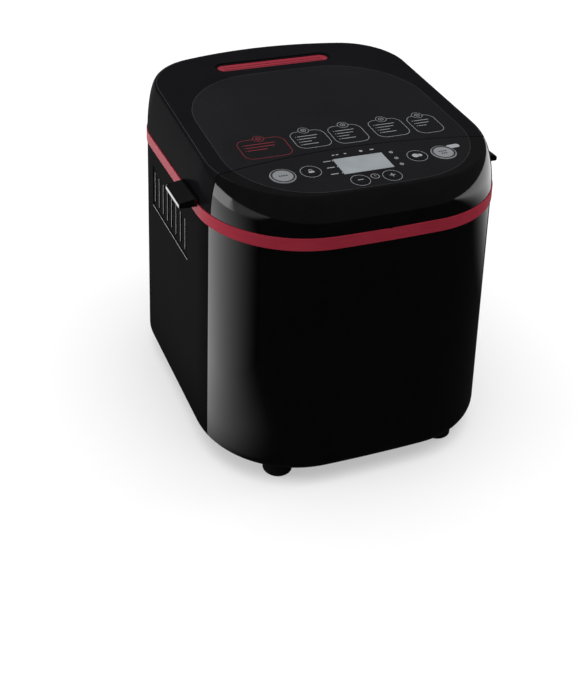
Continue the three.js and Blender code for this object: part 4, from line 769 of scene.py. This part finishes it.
SOFTENED = [
    (RUBBER, "rubber", ["foot_front_left", "foot_front_right", "foot_rear_left", "foot_rear_right",
                        "cord_gland", "drive_belt"]),
    (INNER_PLASTIC, "inner_plastic", ["base_tray", "inner_deck", "lcd_module", "motor_pulley",
                                      "drive_pulley"]),
    (BRIGHT_STEEL, "steel", ["base_screw_left", "base_screw_right", "hinge_pin", "lid_screw_left",
                             "lid_screw_right", "motor_shaft", "drive_shaft", "paddle_shaft",
                             "temperature_sensor", "pan_handle"]),
    (DRAWN_STEEL, "steel", ["oven_chamber", "heating_element", "element_bracket_left", "pan_clip_left",
                            "element_bracket_right", "pan_clip_right", "chassis_plate", "motor"]),
    (ALUMINIUM, "aluminium", ["lid_liner", "pan_seat", "bearing_housing", "drive_dog", "pan_dog",
                              "pan_foot_ring"]),
    (SATIN_BLACK, "satin_black", ["hinge_bracket"]),
    (SILICONE, "silicone", ["lid_seal", "shaft_seal"]),
    (BRONZE, "bronze", ["bearing_bush"]),
    (BOARD, "board_green", ["control_board", "power_board"]),
    (NON_STICK, "non_stick", ["bread_pan", "kneading_paddle"]),
]
for material, slot, nodes in SOFTENED:
    for node in nodes:
        soften(node, material)

# ---- Stage, light and camera ----
# Matt white vinyl. It is plain white where it is seen. What the glossy casing mirrors of it is a painted
# reflection: the floor glows to glossy rays, bright behind the machine's left side and falling away to the
# front.
def soft_step(tree, value, start, end, low, high):
    """A node that goes smoothly from low to high while value goes from start to end."""
    node = add_node(tree, "ShaderNodeMapRange", {"interpolation_type": "SMOOTHSTEP"}, Value=value)
    for socket, number in (("From Min", start), ("From Max", end), ("To Min", low), ("To Max", high)):
        node.inputs[socket].default_value = number
    return node.outputs[0]


floor_material, tree, place = start_material("white_vinyl_with_painted_reflection")
ray = add_node(tree, "ShaderNodeLightPath").outputs
parts = add_node(tree, "ShaderNodeSeparateXYZ", Vector=place).outputs
toward = add_node(tree, "ShaderNodeMath", {"operation": "SUBTRACT"}, _0=parts["Y"], _1=parts["X"])
fall = soft_step(tree, toward.outputs[0], 0.4, 1.3, 0.015, 0.6)
white = add_node(tree, "ShaderNodeBsdfDiffuse", Color=srgb("#ffffff"))
glow = add_node(tree, "ShaderNodeEmission", Color=(1, 1, 1, 1), Strength=1.0)
seen = add_node(tree, "ShaderNodeMixShader", _0=0.42, _1=white.outputs[0], _2=glow.outputs[0])
beyond = add_node(tree, "ShaderNodeMath", {"operation": "ADD"}, _0=parts["Y"], _1=parts["X"])
faint = soft_step(tree, beyond.outputs[0], 0.3, 1.1, 0.0, 1.6)
both_sides = add_node(tree, "ShaderNodeMath", {"operation": "ADD"}, _0=fall, _1=faint)
# The floor beside the machine carries the left card's brightness on below its foot: more painted reflection
# in the floor's glow.
beside = soft_step(tree, parts["X"], -0.12, -0.2, 0.0, 1.0)
along = soft_step(tree, parts["Y"], -0.24, 0.1, 0.0, 2.6)
foot = add_node(tree, "ShaderNodeMath", {"operation": "MULTIPLY"}, _0=beside, _1=along)
painted_reflection_level = add_node(tree, "ShaderNodeMath", {"operation": "ADD"}, _0=both_sides.outputs[0],
                          _1=foot.outputs[0])
mirrored = add_node(tree, "ShaderNodeEmission", Color=(1, 1, 1, 1), Strength=painted_reflection_level.outputs[0])
grey = add_node(tree, "ShaderNodeBsdfDiffuse", Color=srgb("#8a8a8a"))
unseen = add_node(tree, "ShaderNodeMixShader", _0=ray["Is Glossy Ray"], _1=grey.outputs[0],
                  _2=mirrored.outputs[0])
blend = add_node(tree, "ShaderNodeMixShader", _0=ray["Is Camera Ray"], _1=unseen.outputs[0],
                 _2=seen.outputs[0])
end_material(tree, blend)
floor_bm = bmesh.new()
bmesh.ops.create_grid(floor_bm, x_segments=8, y_segments=8, size=20)
floor = as_object(floor_bm, "studio_floor")
floor.data.materials.append(floor_material)

world = bpy.data.worlds.new("studio")
bpy.context.scene.world = world
world.use_nodes = True
tree = world.node_tree
tree.nodes.clear()
ray = add_node(tree, "ShaderNodeLightPath").outputs
shown = add_node(tree, "ShaderNodeMath", {"operation": "MAXIMUM"}, _0=ray["Is Camera Ray"],
                 _1=ray["Is Transmission Ray"])
even = add_node(tree, "ShaderNodeMapRange", Value=ray["Is Glossy Ray"])
even.inputs["To Min"].default_value, even.inputs["To Max"].default_value = 0.5, 0.07
strength = add_node(tree, "ShaderNodeMath", {"operation": "MAXIMUM"}, _0=shown.outputs[0],
                    _1=even.outputs[0])
sky = add_node(tree, "ShaderNodeBackground", Color=(1, 1, 1, 1), Strength=strength.outputs[0])
add_node(tree, "ShaderNodeOutputWorld", Surface=sky.outputs[0])


def softbox(name, place, aim, width, height, power, mirrored_too=False):
    lamp = bpy.data.lights.new(name, "AREA")
    lamp.shape, lamp.size, lamp.size_y, lamp.energy = "RECTANGLE", width, height, power
    made = bpy.data.objects.new(name, lamp)
    made.location = place
    made.rotation_mode = "QUATERNION"
    made.rotation_quaternion = (Vector(aim) - Vector(place)).to_track_quat("-Z", "Y")
    made.visible_glossy = mirrored_too
    bpy.context.scene.collection.objects.link(made)
    return made


key_light = bpy.data.lights.new("soft_key", "SUN")
key_light.energy, key_light.angle = 1.6, math.radians(60)
key_lamp = bpy.data.objects.new("soft_key", key_light)
key_lamp.rotation_mode = "QUATERNION"
key_lamp.rotation_quaternion = Vector((0.02, 0.12, -1)).to_track_quat("-Z", "Y")
key_lamp.visible_glossy = False
bpy.context.scene.collection.objects.link(key_lamp)
softbox("left_softbox", (-1.6, 0.1, 0.7), (0, 0, 0.2), 0.6, 1.0, 5)
softbox("right_softbox", (1.6, -0.3, 0.8), (0, 0, 0.2), 0.5, 1.0, 4)
softbox("rear_strip", (-0.3, 1.0, 1.3), (0, 0, 0.3), 1.2, 0.3, 1.0, True)


def card(name, x, rear_y, front_y, height, strength):
    """A glowing card beside the machine that only its gloss sees, brightest at the rear: a painted
    reflection, not a lamp.
    """
    material, tree, place = start_material(name + "_board")
    y = add_node(tree, "ShaderNodeSeparateXYZ", Vector=place).outputs["Y"]
    level = soft_step(tree, y, front_y, rear_y, 0.0, strength)
    glow = add_node(tree, "ShaderNodeEmission", Color=(1, 1, 1, 1), Strength=level)
    end_material(tree, glow)
    bm = bmesh.new()
    bmesh.ops.create_grid(bm, x_segments=1, y_segments=1, size=0.5)
    bmesh.ops.scale(bm, vec=(height, rear_y - front_y, 1), verts=bm.verts)
    bmesh.ops.rotate(bm, matrix=Matrix.Rotation(math.pi / 2, 3, "Y"), verts=bm.verts)
    bmesh.ops.translate(bm, vec=(x, (rear_y + front_y) / 2, height / 2), verts=bm.verts)
    made = as_object(bm, name)
    made.data.materials.append(material)
    made.visible_camera = made.visible_diffuse = made.visible_shadow = made.visible_transmission = False


card("left_card", -0.27, 0.1, -0.24, 0.24, 2.6)
card("right_card", 0.34, 0.34, 0.05, 0.24, 0.5)

azimuth, elevation, roll = (math.radians(a) for a in (-19.356, 19.382, 0.574))
back = Vector((math.sin(azimuth) * math.cos(elevation), -math.cos(azimuth) * math.cos(elevation),
               math.sin(elevation)))
right = (-back).cross(Vector((0, 0, 1))).normalized()
up = right.cross(-back)
across = right * math.cos(roll) + up * math.sin(roll)
upward = up * math.cos(roll) - right * math.sin(roll)
lens = bpy.data.cameras.new("camera")
lens.lens = 1156.565 / 699 * 36
lens.sensor_width = 36
lens.shift_x = (288.5 - 222.666) / 699
lens.shift_y = (36.379 - 349.5) / 699
lens.clip_start = 0.05
camera = bpy.data.objects.new("camera", lens)
bpy.context.scene.collection.objects.link(camera)
turn = Matrix((across, upward, back)).transposed().to_4x4()
camera.matrix_world = Matrix.Translation((-0.43317, -0.96126, 0.74587)) @ turn
bpy.context.scene.camera = camera
bpy.context.scene.view_settings.view_transform = "Standard"
